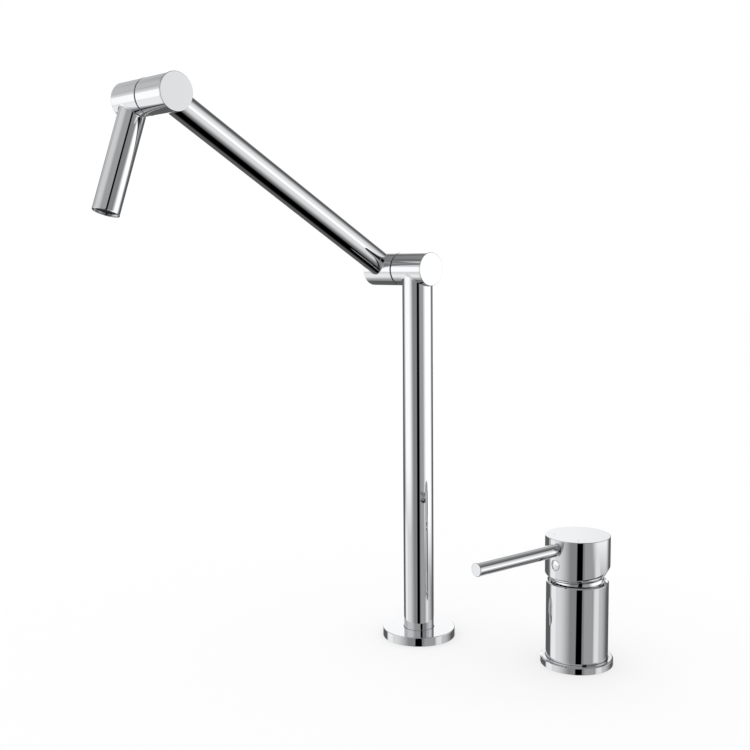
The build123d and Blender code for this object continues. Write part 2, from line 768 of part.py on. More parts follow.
# Cartridge: what stays still, from the floor of the body to the dome
def make_cartridge():
    with BuildPart() as base:
        with BuildSketch(mixer.offset(base_low)):
            Circle(shell_r)
            with PolarLocations(port_circle / 2, port_count, port_start):
                Circle(base_port_d / 2, mode=Mode.SUBTRACT)
        extrude(amount=base_thickness)
        with BuildSketch(mixer.offset(base_low)):
            with PolarLocations(port_circle / 2, port_count, port_start):
                Circle(port_seal_d / 2 + seat_gap)
        extrude(amount=port_seal_sink, mode=Mode.SUBTRACT)
    keep(base, "cartridge_base")

    seal_height = base_low + port_seal_sink - cartridge_floor
    with BuildPart() as seals:
        with BuildSketch(mixer.offset(cartridge_floor)):
            with PolarLocations(port_circle / 2, port_count, port_start):
                Circle(port_seal_d / 2)
                Circle(base_port_d / 2, mode=Mode.SUBTRACT)
        extrude(amount=seal_height)
    keep(seals, "port_seals")

    with BuildPart() as disc:
        with BuildSketch(mixer.offset(base_top)):
            Circle(fixed_disc_r)
            with PolarLocations(port_circle / 2, port_count, port_start):
                Circle(passage_d / 2, mode=Mode.SUBTRACT)
        extrude(amount=disc_thickness)
    keep(disc, "fixed_disc")

    lip_r = neck_bore_r - neck_lip_width
    housing = turned(mixer, [
        (shell_bore_r, base_top),
        (shell_r, base_top),
        (shell_r, shoulder_height),
        (neck_r, shoulder_height),
        (neck_r, neck_top),
        (lip_r, neck_top),
        (lip_r, neck_top - neck_lip),
        (neck_bore_r, neck_top - neck_lip),
        (neck_bore_r, roof_height),
        (shell_bore_r, roof_height),
    ])
    keep(housing, "cartridge_housing")

    over_r = neck_r + seat_gap
    nut = turned(mixer, [
        (shell_r + seat_gap, nut_bottom),
        (nut_r - seat_gap, nut_bottom),
        (nut_r - seat_gap, nut_step),
        (collar_r, nut_step),
        (collar_r, collar_top),
        (over_r, collar_top),
        (over_r, shoulder_height),
        (shell_r + seat_gap, shoulder_height),
    ])
    keep(nut, "cartridge_nut")

    inner_r = collar_r + seat_gap
    opening_r = dome_opening / 2
    middle = (dome_r * cos(shoulder / 2), pivot_height + dome_r * sin(shoulder / 2))
    with BuildPart() as dome:
        with BuildSketch(profile_plane(mixer)):
            with BuildLine():
                Line((dome_r, nut_step), (dome_r, pivot_height))
                ThreePointArc((dome_r, pivot_height), middle, (shoulder_x, shoulder_z))
                Polyline(
                    (shoulder_x, shoulder_z),
                    (opening_r, opening_z),
                    (opening_r, opening_z - dome_wall),
                    (shoulder_x - dome_wall, shoulder_z - dome_wall),
                    (inner_r, collar_top + free_gap),
                    (inner_r, nut_step),
                    (dome_r, nut_step),
                )
            make_face()
        revolve(axis=axis_of(mixer))
    keep(dome, "cartridge_dome")


# Cartridge: what turns and slides with the lever
def make_cartridge_movement():
    recess_r = moving_disc_r - recess_wall
    recess_half = sqrt(recess_r**2 - recess_front**2)
    with BuildPart() as disc:
        with BuildSketch(mixer.offset(disc_low)):
            Circle(moving_disc_r)
            with BuildLine():
                ThreePointArc((-recess_half, -recess_front), (0, recess_r), (recess_half, -recess_front))
                Line((recess_half, -recess_front), (-recess_half, -recess_front))
            make_face(mode=Mode.SUBTRACT)
        extrude(amount=disc_thickness / 2)
        with BuildSketch(mixer.offset(disc_low + disc_thickness / 2)):
            Circle(moving_disc_r)
        extrude(amount=disc_thickness / 2)
    keep(disc, "moving_disc")

    flange_r = shell_bore_r - free_gap
    lug_outer = flange_r - turret_lug_thickness
    lug_inner = lug_outer - turret_lug_thickness
    with BuildPart() as carrier:
        with BuildSketch(mixer.offset(carrier_low)):
            Circle(moving_disc_r)
            Circle(ball_d / 2 + journal_gap, mode=Mode.SUBTRACT)
            Rectangle(2 * (lug_inner - free_gap), 2 * moving_disc_r, mode=Mode.INTERSECT)
        extrude(amount=carrier_thickness)
    keep(carrier, "disc_carrier")

    flange_top = turret_low + turret_flange
    turret_top = neck_top - neck_lip - free_gap
    slot_width = spindle_width + 2 * journal_gap
    lift = radians(lift_range)
    slot_half = spindle_width / 2 * cos(lift) + spindle_drop * sin(lift) + slot_room
    pin_side = Plane(
        origin=mixer.origin + Vector(0, 0, pivot_height), x_dir=mixer.y_dir, z_dir=mixer.x_dir
    )
    pin_hole_r = pin_d / 2 + seat_gap
    with BuildPart() as turret:
        with BuildSketch(mixer.offset(turret_low)):
            Circle(flange_r)
        extrude(amount=flange_top - turret_low)
        with BuildSketch(mixer.offset(flange_top)):
            Circle(turret_r)
        extrude(amount=turret_top - flange_top)
        with BuildSketch(mixer.offset(turret_low)):
            with Locations(
                (lug_inner + turret_lug_thickness / 2, 0),
                (-lug_inner - turret_lug_thickness / 2, 0),
            ):
                Rectangle(turret_lug_thickness, turret_lug_width)
        extrude(amount=-carrier_thickness)
        with BuildSketch(mixer.offset(turret_low - overrun)):
            Rectangle(slot_width, 2 * slot_half)
        extrude(amount=turret_top - turret_low + 2 * overrun, mode=Mode.SUBTRACT)
        with BuildSketch(pin_side):
            Circle(pin_hole_r)
        extrude(amount=turret_r + overrun, both=True, mode=Mode.SUBTRACT)
    keep(turret, "cartridge_turret")

    with BuildPart() as pin:
        with BuildSketch(pin_side):
            Circle(pin_d / 2)
        extrude(amount=turret_r - free_gap, both=True)
    keep(pin, "lever_pin")


# Spindle: square above, hung on the pin, with a ball that pushes the carrier
def make_spindle():
    pivot = mixer.offset(pivot_height)
    pin_side = Plane(origin=pivot.origin, x_dir=mixer.y_dir, z_dir=mixer.x_dir)
    ball_r = ball_d / 2
    stem_r = stem_d / 2
    ball_reach = pivot_height - carrier_low - ball_gap - ball_r
    with BuildPart() as spindle:
        with BuildSketch(pivot.offset(-spindle_drop)):
            Rectangle(spindle_width, spindle_width)
        extrude(amount=spindle_drop + spindle_top - pivot_height)
        chamfer(spindle.faces().sort_by(Axis.Z)[-1].edges(), edge_break)
        with BuildSketch(profile_plane(pivot)):
            with BuildLine():
                Polyline(
                    (0, -ball_reach - ball_r),
                    (0, -spindle_drop),
                    (stem_r, -spindle_drop),
                    (stem_r, sqrt(ball_r**2 - stem_r**2) - ball_reach),
                )
                ThreePointArc((stem_r, sqrt(ball_r**2 - stem_r**2) - ball_reach),
                              (ball_r, -ball_reach), (0, -ball_reach - ball_r))
            make_face()
        revolve(axis=axis_of(pivot))
        with BuildSketch(pin_side):
            Circle(pin_d / 2 + journal_gap)
        extrude(amount=spindle_width, both=True, mode=Mode.SUBTRACT)
    keep(spindle, "lever_spindle")


# Handle: cap with its leaning conical skirt, lever, screw, cover and marks
def make_handle():
    pivot = mixer.offset(pivot_height)
    hollow_r = dome_r + dome_clearance
    front = Plane(origin=mixer.origin, x_dir=mixer.x_dir, z_dir=-mixer.y_dir)
    lip_origin = mixer.origin - mixer.y_dir * cap_lip_shift + Vector(0, 0, cap_lip_height)
    lean = radians(cap_cone_lean)
    cone_axis = mixer.z_dir * cos(lean) - mixer.y_dir * sin(lean)
    cone = Plane(origin=lip_origin, x_dir=mixer.x_dir, z_dir=cone_axis)
    cone_rise = mixer_height - pivot_height
    lip_r = sqrt(hollow_r**2 - cap_lip_rise**2) + cap_lip_land
    slope = tan(radians(cap_cone_angle))
    tip = radians(cap_lip_slope)
    lip_normal = mixer.z_dir * cos(tip) - mixer.y_dir * sin(tip)
    lip = Plane(origin=mixer.origin + Vector(0, 0, cap_lip_height), x_dir=mixer.x_dir, z_dir=lip_normal)
    socket = spindle_width + 2 * seat_gap
    roof_r = sqrt(hollow_r**2 - cap_roof_rise**2)
    grub = Plane(origin=front.origin + Vector(0, 0, grub_height), x_dir=mixer.x_dir, z_dir=front.z_dir)
    lever = Plane(origin=front.origin + Vector(0, 0, lever_height), x_dir=mixer.x_dir, z_dir=front.z_dir)
    cover_r = cover_d / 2
    cover_seat = cap_r - cover_depth
    cover_face = sqrt(cap_r**2 - cover_r**2)
    lever_seat_r = lever_neck_d / 2 + lever_seat_step
    lever_seat = sqrt(cap_r**2 - lever_seat_r**2) - lever_seat_sink
    with BuildPart() as cap:
        with BuildSketch(pivot):
            Circle(cap_r)
        extrude(amount=mixer_height - pivot_height)
        chamfer(cap.faces().sort_by(Axis.Z)[-1].edges(), edge_break)
        with BuildSketch(profile_plane(cone)):
            with BuildLine():
                Polyline(
                    (0, -cone_rise / 4),
                    (lip_r - slope * cone_rise / 4, -cone_rise / 4),
                    (lip_r + slope * cone_rise, cone_rise),
                    (lip_r + slope * cone_rise, 2 * cone_rise),
                    (0, 2 * cone_rise),
                    close=True,
                )
            make_face()
        revolve(axis=axis_of(cone), mode=Mode.INTERSECT)
        with BuildSketch(lip):
            Circle(2 * cap_r)
        extrude(amount=-cap_r, mode=Mode.SUBTRACT)
        with BuildSketch(profile_plane(pivot)):
            with BuildLine():
                Polyline((0, -hollow_r), (0, cap_roof_rise), (roof_r, cap_roof_rise))
                ThreePointArc((roof_r, cap_roof_rise), (hollow_r, 0), (0, -hollow_r))
            make_face()
        revolve(axis=axis_of(pivot), mode=Mode.SUBTRACT)
        with BuildSketch(pivot.offset(cap_roof_rise)):
            Rectangle(socket, socket)
        extrude(amount=grub_rise + spindle_tip + free_gap, mode=Mode.SUBTRACT)
        with BuildSketch(grub):
            Circle(grub_d / 2 + seat_gap)
        extrude(amount=cap_r, mode=Mode.SUBTRACT)
        with BuildSketch(grub.offset(cover_seat)):
            Circle(cover_d / 2 + seat_gap)
        extrude(amount=cover_depth + overrun, mode=Mode.SUBTRACT)
        with BuildSketch(grub.offset(cover_face - cover_hole_chamfer)):
            Circle(cover_d / 2 + seat_gap)
        extrude(amount=cover_hole_chamfer + overrun, taper=-45, mode=Mode.SUBTRACT)
        with BuildSketch(lever.offset(lever_seat)):
            Circle(lever_seat_r)
        extrude(amount=cap_r - lever_seat + overrun, mode=Mode.SUBTRACT)
        with BuildSketch(lever.offset(lever_thread_start - free_gap)):
            Circle(lever_thread_d / 2 + seat_gap)
        extrude(amount=cap_r, mode=Mode.SUBTRACT)
        with BuildSketch(mixer.offset(mixer_height - mark_depth)):
            with PolarLocations(cap_r - mark_inset, 2, -90 - mark_angle, 2 * mark_angle, endpoint=True):
                Circle(mark_d / 2 + seat_gap)
        extrude(amount=mark_depth + overrun, mode=Mode.SUBTRACT)
    keep(cap, "handle_cap")

    bar_r = lever_d / 2
    thread_r = lever_thread_d / 2
    neck_start = lever_seat + seat_gap
    neck_end = cap_r + lever_neck_length
    bar = turned(lever, [
        (0, lever_thread_start),
        (thread_r, lever_thread_start),
        (thread_r, neck_start),
        (lever_neck_d / 2, neck_start),
        (lever_neck_d / 2, neck_end),
        (bar_r - lever_chamfer, neck_end),
        (bar_r, neck_end + lever_chamfer),
        (bar_r, lever_reach - lever_chamfer),
        (bar_r - lever_chamfer, lever_reach),
        (0, lever_reach),
    ])
    keep(bar, "lever_bar")

    with BuildPart() as grub_screw:
        with BuildSketch(grub.offset(spindle_width / 2 + seat_gap)):
            Circle(grub_d / 2)
        extrude(amount=grub_length)
        with BuildSketch(grub.offset(spindle_width / 2 + seat_gap + grub_length)):
            RegularPolygon(grub_d / 4, 6, major_radius=False)
        extrude(amount=-grub_length / 2, mode=Mode.SUBTRACT)
    keep(grub_screw, "handle_grub_screw")

    cover = turned(grub, [
        (0, cover_seat + seat_gap),
        (cover_r, cover_seat + seat_gap),
        (cover_r, cover_face),
        (cover_r / 2, cover_face + cover_crown * 3 / 4),
        (0, cover_face + cover_crown),
    ])
    keep(cover, "screw_cover")

    with BuildPart() as marks:
        with BuildSketch(mixer.offset(mixer_height - mark_depth)):
            with PolarLocations(cap_r - mark_inset, 2, -90 - mark_angle, 2 * mark_angle, endpoint=True):
                Circle(mark_d / 2)
        extrude(amount=mark_depth)
    keep(marks, "temperature_marks")


make_foot()
make_column()
make_elbow(
    "lower_elbow", -lower_seam, lower_cap_face, 0, Vector(0, 0, -1), column_bore_r,
    lower_barrel_end, arm_from_seam, arm_dir, lower_hinge,
    "lower_elbow_housing", "arm_lower_barrel",
)
keep(coped_tube(arm_x, lower_hinge, arm_dir, arm_reach, (lower_hinge, upper_hinge)), "arm_tube")
make_elbow(
    "upper_elbow", upper_seam_x, arm_x + upper_cap_face, arm_x, -arm_dir, arm_bore_r,
    upper_barrel_end, spout_from_seam, spout_dir, upper_hinge,
    "arm_upper_housing", "spout_barrel",
)
keep(coped_tube(spout_x, upper_hinge, spout_dir, spout_reach, (upper_hinge,)), "spout_tube")
make_outlet()
make_mixer_body()
make_cartridge()
make_cartridge_movement()
make_spindle()
make_handle()
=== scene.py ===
import json
from math import cos, pi, radians, sin, tan

import bmesh
import bpy
import numpy as np
from mathutils import Matrix, Vector


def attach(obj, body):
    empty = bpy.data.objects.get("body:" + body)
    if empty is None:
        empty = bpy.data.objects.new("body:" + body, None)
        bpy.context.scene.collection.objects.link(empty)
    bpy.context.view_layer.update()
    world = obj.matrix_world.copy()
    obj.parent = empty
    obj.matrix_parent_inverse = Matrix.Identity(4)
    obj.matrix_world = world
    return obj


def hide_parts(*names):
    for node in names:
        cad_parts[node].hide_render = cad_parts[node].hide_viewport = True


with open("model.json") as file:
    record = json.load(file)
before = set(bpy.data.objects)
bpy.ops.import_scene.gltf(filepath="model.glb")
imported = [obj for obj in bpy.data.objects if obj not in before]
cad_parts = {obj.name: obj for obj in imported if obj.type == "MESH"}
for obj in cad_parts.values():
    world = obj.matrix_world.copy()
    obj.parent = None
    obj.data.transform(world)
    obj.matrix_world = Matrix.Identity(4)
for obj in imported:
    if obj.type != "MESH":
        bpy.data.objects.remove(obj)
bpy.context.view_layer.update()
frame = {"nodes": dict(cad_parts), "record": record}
nodes = frame["nodes"]
print("frame loaded:", len(nodes), "nodes")

mm = 0.001
poleR = 0.01  # the innermost ring of a closed end, around its middle point

# Where everything stands, in mm, from the same sizes as the solids
place = {
    "hingeHeight": 306.6,
    "armReach": 246.0,
    "armRise": 30.0,  # degrees above level
    "spoutReach": 85.2,
    "spoutDrop": 71.0,  # degrees below level
    "armX": -35.4,
    "spoutX": -72.4,
    "lowerFace": 15.5,  # X of each elbow's cap face, seam and barrel end
    "lowerSeam": -17.0,
    "armEnd": -49.2,
    "upperFace": -22.1,
    "upperSeam": -52.9,
    "spoutEnd": -84.5,
    "mixer": (131.3, 40.2),
    "leverTurn": -7.0,
    "pivotHeight": 65.0,
}
armDir = np.array([0, -cos(radians(place["armRise"])), sin(radians(place["armRise"]))])
spoutDir = np.array([0, -cos(radians(place["spoutDrop"])), -sin(radians(place["spoutDrop"]))])
lowerHinge = np.array([0, 0, place["hingeHeight"]])
upperHinge = lowerHinge + armDir * place["armReach"]
upX = np.array([1.0, 0, 0])
upY = np.array([0, 1.0, 0])
upZ = np.array([0, 0, 1.0])
turn = radians(place["leverTurn"])
mixerSide = np.array([cos(turn), sin(turn), 0])
mixerBack = np.array([-sin(turn), cos(turn), 0])
mixerFoot = np.array([place["mixer"][0], place["mixer"][1], 0])


# Faces of a grid of rows and columns. Columns close on themselves, and rows too
# where the profile is a loop. What skip marks is left open.
def gridFaces(rows, columns, closeRows, first=0, skip=None):
    last = rows if closeRows else rows - 1
    i = np.arange(last)[:, None]
    j = np.arange(columns)[None, :]
    a = i * columns + j
    b = i * columns + (j + 1) % columns
    c = ((i + 1) % rows) * columns + (j + 1) % columns
    d = ((i + 1) % rows) * columns + j
    faces = np.stack([a, b, c, d], -1).reshape(-1, 4) + first
    return faces if skip is None else faces[~skip.ravel()]


def fanFaces(columns, start, pole, flip):
    j = np.arange(columns)
    a, b = start + j, start + (j + 1) % columns
    tri = np.stack([b, a, np.full(columns, pole)], -1)
    return tri[:, ::-1] if flip else tri


# Normals straight away from the axis, on the faces whose corners all lie on a
# cylinder, so that a hole in it leaves its mirror image true
def roundNormals(mesh, origin, axis, radius):
    corners, faces = len(mesh.loops), len(mesh.polygons)
    normals, spots = np.empty(corners * 3), np.empty(len(mesh.vertices) * 3)
    owner, sides = np.empty(corners, int), np.empty(faces, int)
    mesh.corner_normals.foreach_get("vector", normals)
    mesh.vertices.foreach_get("co", spots)
    mesh.loops.foreach_get("vertex_index", owner)
    mesh.polygons.foreach_get("loop_total", sides)
    normals = normals.reshape(-1, 3)
    away = spots.reshape(-1, 3) / mm - origin
    away = away - (away @ axis)[:, None] * axis
    reach = np.linalg.norm(away, axis=1)
    off = np.abs(reach - radius) > 1e-3
    face = np.repeat(np.arange(faces), sides)
    use = (np.bincount(face, off[owner]) == 0)[face]
    normals[use] = (away / np.maximum(reach, 1e-9)[:, None])[owner[use]]
    mesh.normals_split_custom_set(normals.tolist())


# One mesh from several shells, each (points, kind) or (points, kind, skip). A loop is
# closed already, poles are fans at both ends, and a cup has one at its last row.
def makeMesh(name, shells, sharp=32, weld=False, barrel=None):
    verts, faces = [], []
    count = 0
    for points, kind, *skip in shells:
        rows, columns = points.shape[:2]
        size = rows * columns
        verts.append(points.reshape(-1, 3))
        faces += gridFaces(rows, columns, kind == "loop", count, *skip).tolist()
        if kind in ("poles", "cup"):
            verts.append(np.stack([points[0].mean(0), points[-1].mean(0)]))
            faces += fanFaces(columns, count + size - columns, count + size + 1, True).tolist()
        if kind == "poles":
            faces += fanFaces(columns, count, count + size, False).tolist()
        count += size + (2 if kind in ("poles", "cup") else 0)
    mesh = bpy.data.meshes.new(name)
    mesh.from_pydata((np.concatenate(verts) * mm).tolist(), [], faces)
    mesh.validate()
    tool = bmesh.new()
    tool.from_mesh(mesh)
    if weld:
        bmesh.ops.remove_doubles(tool, verts=tool.verts, dist=3e-7)
    bmesh.ops.delete(tool, geom=[v for v in tool.verts if not v.link_faces], context="VERTS")
    bmesh.ops.recalc_face_normals(tool, faces=tool.faces)
    tool.to_mesh(mesh)
    tool.free()
    mesh.polygons.foreach_set("use_smooth", np.ones(len(mesh.polygons), bool))
    mesh.set_sharp_from_angle(angle=radians(sharp))
    mesh.update()
    if barrel:
        roundNormals(mesh, *barrel)
    piece = bpy.data.objects.new(name, mesh)
    bpy.context.scene.collection.objects.link(piece)
    return piece


# Corner points (radius, height, rounding) to a smooth profile: each rounded
# corner is an arc, with a row close beside it that keeps the flats flat.
def roundProfile(corners, loop=True, steps=4, hold=0.25):
    pts = [np.array(c[:2], float) for c in corners]
    fillets = [c[2] if len(c) > 2 else 0.0 for c in corners]
    n = len(pts)
    out = []
    for k in range(n):
        p, f = pts[k], fillets[k]
        if not loop and k in (0, n - 1) or f == 0:
            out.append(p)
            continue
        before, after = pts[k - 1] - p, pts[(k + 1) % n] - p
        lb, la = np.linalg.norm(before), np.linalg.norm(after)
        before, after = before / lb, after / la
        half = np.arccos(np.clip(before @ after, -1, 1)) / 2
        reach = min(f / tan(half), 0.48 * lb, 0.48 * la)
        middle = before + after
        middle = p + middle / np.linalg.norm(middle) * (reach / cos(half))
        s, e = p + before * reach - middle, p + after * reach - middle
        span = np.arccos(np.clip(s @ e / (s @ s), -1, 1))
        t = np.linspace(0, 1, steps + 1)[:, None]
        arc = (np.sin((1 - t) * span) * s + np.sin(t * span) * e) / np.sin(span)
        if lb > reach + 2 * hold:
            out.append(p + before * (reach + hold))
        out += list(middle + arc)
        if la > reach + 2 * hold:
            out.append(p + after * (reach + hold))
    return np.array(out)


# Surface of revolution: origin + r cos(a) side + r sin(a) (axis x side) + h axis
def turned(profile, origin, axis, side, around=96):
    profile = np.array(profile, float)
    a = np.linspace(0, 2 * pi, around, endpoint=False)
    other = np.cross(axis, side)
    circle = np.cos(a)[:, None] * side + np.sin(a)[:, None] * other
    return origin + profile[:, 0, None, None] * circle + profile[:, 1, None, None] * axis


# Tube cut to sit on barrels: a row (radius, base, sign, barrel) lies at
# base + sign * sqrt(barrel^2 - (radius sin a)^2) along the axis, flat where sign is 0
def coped(rows, origin, axis, around=96):
    a = np.linspace(0, 2 * pi, around, endpoint=False)
    other = np.cross(axis, upX)
    radius, base, sign, barrel = (np.array(v, float)[:, None] for v in zip(*rows))
    along = base + sign * np.sqrt(np.maximum(barrel**2 - (radius * np.sin(a)) ** 2, 0))
    across = np.cos(a)[:, None] * upX + np.sin(a)[:, None] * other
    return origin + radius[..., None] * across + along[..., None] * axis


# Brazed joint of a tube and a barrel: the tube's rows flare out as a hollow quarter circle
def brazeRows(radius, base, sign, barrel, size=0.6, steps=7):
    t = np.linspace(0, pi / 2, steps)
    return [(radius + size * (1 - cos(v)), base, sign, barrel + size * (1 - sin(v))) for v in t]


# Screw thread: r = major - depth + depth * blunt(z / pitch - a / 2 pi), faded at the ends.
# Blunt is a triangle wave with its tips cut flat.
def threaded(zs, major, depth, pitch, origin, axis, side, around=72, fade=1.2):
    a = np.linspace(0, 2 * pi, around, endpoint=False)
    phase = (zs[:, None] / pitch - a / (2 * pi)) % 1
    wave = np.clip(1.5 * (1 - np.abs(2 * phase - 1)) - 0.25, 0, 1)
    run = np.clip(np.minimum(zs - zs[0], zs[-1] - zs) / fade, 0, 1)[:, None]
    radius = major - depth + depth * wave * run
    other = np.cross(axis, side)
    circle = np.cos(a)[:, None] * side + np.sin(a)[:, None] * other
    return origin + radius[..., None] * circle + zs[:, None, None] * axis


# Hexagon nut: r = half width / cos(angle to the nearest flat), never outside a 30 degree
# cone at each face that bevels the six corners
def hexagonNut(across, bore, height, origin, axis, side, around=96, bevel=2.4, face=0.97, lip=0.5):
    a = np.linspace(0, 2 * pi, around, endpoint=False)
    flat = across / 2 / np.cos(a % (pi / 3) - pi / 6)
    depth = np.concatenate([np.linspace(0, bevel, 9), height - np.linspace(bevel, 0, 9)])
    near = np.minimum(depth, height - depth)[:, None]
    radius = np.minimum(flat, across / 2 * face + near / tan(radians(30)))
    lips = [(bore, height - lip), (bore, lip), (bore + lip, 0)]
    rims = [np.full((1, around), r) for r, h in lips]
    radius = np.concatenate([radius, np.full((1, around), bore + lip), *rims])
    along = np.concatenate([depth, [height], [h for r, h in lips]])
    other = np.cross(axis, side)
    circle = np.cos(a)[:, None] * side + np.sin(a)[:, None] * other
    return origin + radius[..., None] * circle + along[:, None, None] * axis


# Hole drilled square across an upright cylinder. A window of the grid's faces is left
# open: rows on the cylinder join its edge to the hole's rim, and the hole's own rows
# (radius, distance from the cylinder's axis) follow, with x = r cos t, z = height + r sin t.
def drilled(grid, rows, columns, foot, side, out, radius, hole):
    (top, bottom), (left, right) = rows, columns
    i = np.concatenate([
        np.arange(bottom, top, -1), np.full(right - left, top), np.arange(top, bottom),
        np.full(right - left, bottom),
    ])
    j = np.concatenate([
        np.full(bottom - top, right), np.arange(right, left, -1), np.full(bottom - top, left),
        np.arange(left, right),
    ])
    edge = grid[i, j]
    x, z = (edge - foot) @ side, (edge - foot) @ upZ - hole["height"]
    t = np.arctan2(z, x)
    surface = lambda r: np.sqrt(radius**2 - (r * np.cos(t)) ** 2)
    bevelFloor = hole.get("bevelFloor", surface(hole["radius"]) - hole.get("bevel", 0))
    rim = np.full(len(t), hole["radius"])
    for _ in range(8):  # the rim is where the 45 degree bevel meets the cylinder
        rim = hole["radius"] + surface(rim) - bevelFloor
    rings = []
    for s in (0.65, 0.35, 0.15, 0.05, 0.0):
        px, pz = rim * np.cos(t) * (1 - s) + x * s, rim * np.sin(t) * (1 - s) + z * s
        rings.append((px, pz, np.sqrt(radius**2 - px**2)))
    for r, y in [(hole["radius"], bevelFloor), *hole["walls"]]:
        rings.append((r * np.cos(t), r * np.sin(t), np.broadcast_to(y, t.shape)))
    rows = [
        foot + px[:, None] * side + py[:, None] * out + (pz + hole["height"])[:, None] * upZ
        for px, pz, py in rings
    ]
    return np.stack([edge, *rows]), "cup"


# sRGB hex to linear colour
def fromHex(text):
    value = np.array([int(text[i:i + 2], 16) for i in (1, 3, 5)]) / 255
    linear = np.where(value <= 0.04045, value / 12.92, ((value + 0.055) / 1.055) ** 2.4)
    return (*linear.tolist(), 1.0)


# Adds a node with its settings and links: inputs are values or other sockets
def addNode(tree, kind, inputs=None, **settings):
    node = tree.nodes.new(kind)
    for key, value in settings.items():
        setattr(node, key, value)
    for key, value in (inputs or {}).items():
        if isinstance(value, bpy.types.NodeSocket):
            tree.links.new(value, node.inputs[key])
        else:
            node.inputs[key].default_value = value
    return node


# Output of a math node on one to three values or sockets
def mathOf(tree, operation, *values):
    return addNode(tree, "ShaderNodeMath", dict(enumerate(values)), operation=operation).outputs[0]


def newMaterial(name, color, metallic, roughness, **sockets):
    material = bpy.data.materials.new(name)
    material.use_nodes = True
    tree = material.node_tree
    shader = tree.nodes["Principled BSDF"]
    shader.inputs["Base Color"].default_value = fromHex(color)
    shader.inputs["Metallic"].default_value = metallic
    shader.inputs["Roughness"].default_value = roughness
    for key, value in sockets.items():
        shader.inputs[key].default_value = value
    return material, tree, shader


# A ramp between two stops, from one colour or grey level to another
def rampOf(tree, source, stops, shades):
    ramp = addNode(tree, "ShaderNodeValToRGB", {"Fac": source})
    for element, stop, shade in zip(ramp.color_ramp.elements, stops, shades):
        element.position = stop
        element.color = fromHex(shade) if isinstance(shade, str) else (shade, shade, shade, 1)
    return ramp.outputs["Color"]


# A material whose colour drifts between two shades, with noise of a given grain
def mottled(name, look, metallic, **sockets):
    material, tree, shader = newMaterial(name, look["color"], metallic, look["roughness"], **sockets)
    where = addNode(tree, "ShaderNodeTexCoord").outputs["Object"]
    scale = 1 / (look["grainMm"] * mm)
    noise = addNode(tree, "ShaderNodeTexNoise", {"Vector": where, "Scale": scale, "Detail": look["detail"]})
    tint = rampOf(tree, noise.outputs["Fac"], look.get("stops", (0.3, 0.7)), look["shades"])
    tree.links.new(tint, shader.inputs["Base Color"])
    return material, tree, shader, where, noise


def addBump(tree, shader, source, strength, heightMm):
    inputs = {"Height": source.outputs["Fac"], "Strength": strength, "Distance": heightMm * mm}
    bump = addNode(tree, "ShaderNodeBump", inputs)
    tree.links.new(bump.outputs["Normal"], shader.inputs["Normal"])


# Chrome plate over polished brass: a mirror with a faint blue-grey cast. Plating
# leaves a very shallow waviness, and wiping leaves slightly duller patches.
chromeLook = {
    "color": "#E9EAEC", "roughness": (0.012, 0.04), "stops": (0.35, 0.75), "smudgeMm": 38.0,
    "waveMm": 9.0, "waveHeightMm": 0.002,
}
chrome, tree, shader = newMaterial("chromePlateOnBrass", chromeLook["color"], 1.0, 0.03)
where = addNode(tree, "ShaderNodeTexCoord").outputs["Object"]
smudge = addNode(
    tree, "ShaderNodeTexNoise",
    {"Vector": where, "Scale": 1 / (chromeLook["smudgeMm"] * mm), "Detail": 3.0},
)
dullness = rampOf(tree, smudge.outputs["Fac"], chromeLook["stops"], chromeLook["roughness"])
tree.links.new(dullness, shader.inputs["Roughness"])
wave = addNode(
    tree, "ShaderNodeTexNoise", {"Vector": where, "Scale": 1 / (chromeLook["waveMm"] * mm), "Detail": 1.0},
)
addBump(tree, shader, wave, 1.0, chromeLook["waveHeightMm"])

# Machined free-cutting brass, unplated and a little tarnished: fine turning lines
# around each piece
brassLook = {
    "color": "#C9A45C", "shades": ("#A9853F", "#C9A45C"), "roughness": 0.28, "grainMm": 14.0,
    "detail": 4.0, "markMm": 0.5, "markStrength": 0.25, "markHeightMm": 0.01,
}
brass, tree, shader, where, noise = mottled("machinedBrass", brassLook, 1.0)
marks = addNode(
    tree, "ShaderNodeTexWave", {"Vector": where, "Scale": 1 / (brassLook["markMm"] * mm) / 6.28},
    bands_direction="Z",
)
addBump(tree, shader, marks, brassLook["markStrength"], brassLook["markHeightMm"])

# Stainless steel strip and bar: greyer than chrome, with a brushed grain
steelLook = {
    "color": "#B9BBBD", "shades": ("#9A9C9E", "#B9BBBD"), "roughness": 0.32, "grainMm": 0.6, "detail": 3.0,
}
steel = mottled("stainlessSteel", steelLook, 1.0)[0]

# Moulded nitrile rubber: near black, soft sheen, slightly grainy skin
rubberLook = {
    "color": "#1D1D1E", "shades": ("#1D1D1E", "#2B2B2C"), "stops": (0.3, 0.75), "roughness": 0.62,
    "grainMm": 0.8, "detail": 4.0, "skinStrength": 0.3, "skinHeightMm": 0.03,
}
rubber, tree, shader, where, noise = mottled("nitrileRubber", rubberLook, 0.0, IOR=1.52)
addBump(tree, shader, noise, rubberLook["skinStrength"], rubberLook["skinHeightMm"])

# Moulded acetal: milky white, waxy, with flow marks too faint to colour it
acetalLook = {
    "color": "#E9E8E2", "shades": ("#DDDCD4", "#E9E8E2"), "roughness": 0.38, "grainMm": 5.0, "detail": 2.0,
}
acetal = mottled("mouldedAcetal", acetalLook, 0.0, IOR=1.48)[0]

# Black moulded acetal of the wear washers and the aerator's core: dark, half dull
blackLook = {
    "color": "#232426", "shades": ("#1A1B1C", "#232426"), "roughness": 0.36, "grainMm": 3.0, "detail": 2.0,
}
blackAcetal = mottled("blackMouldedAcetal", blackLook, 0.0, IOR=1.48)[0]

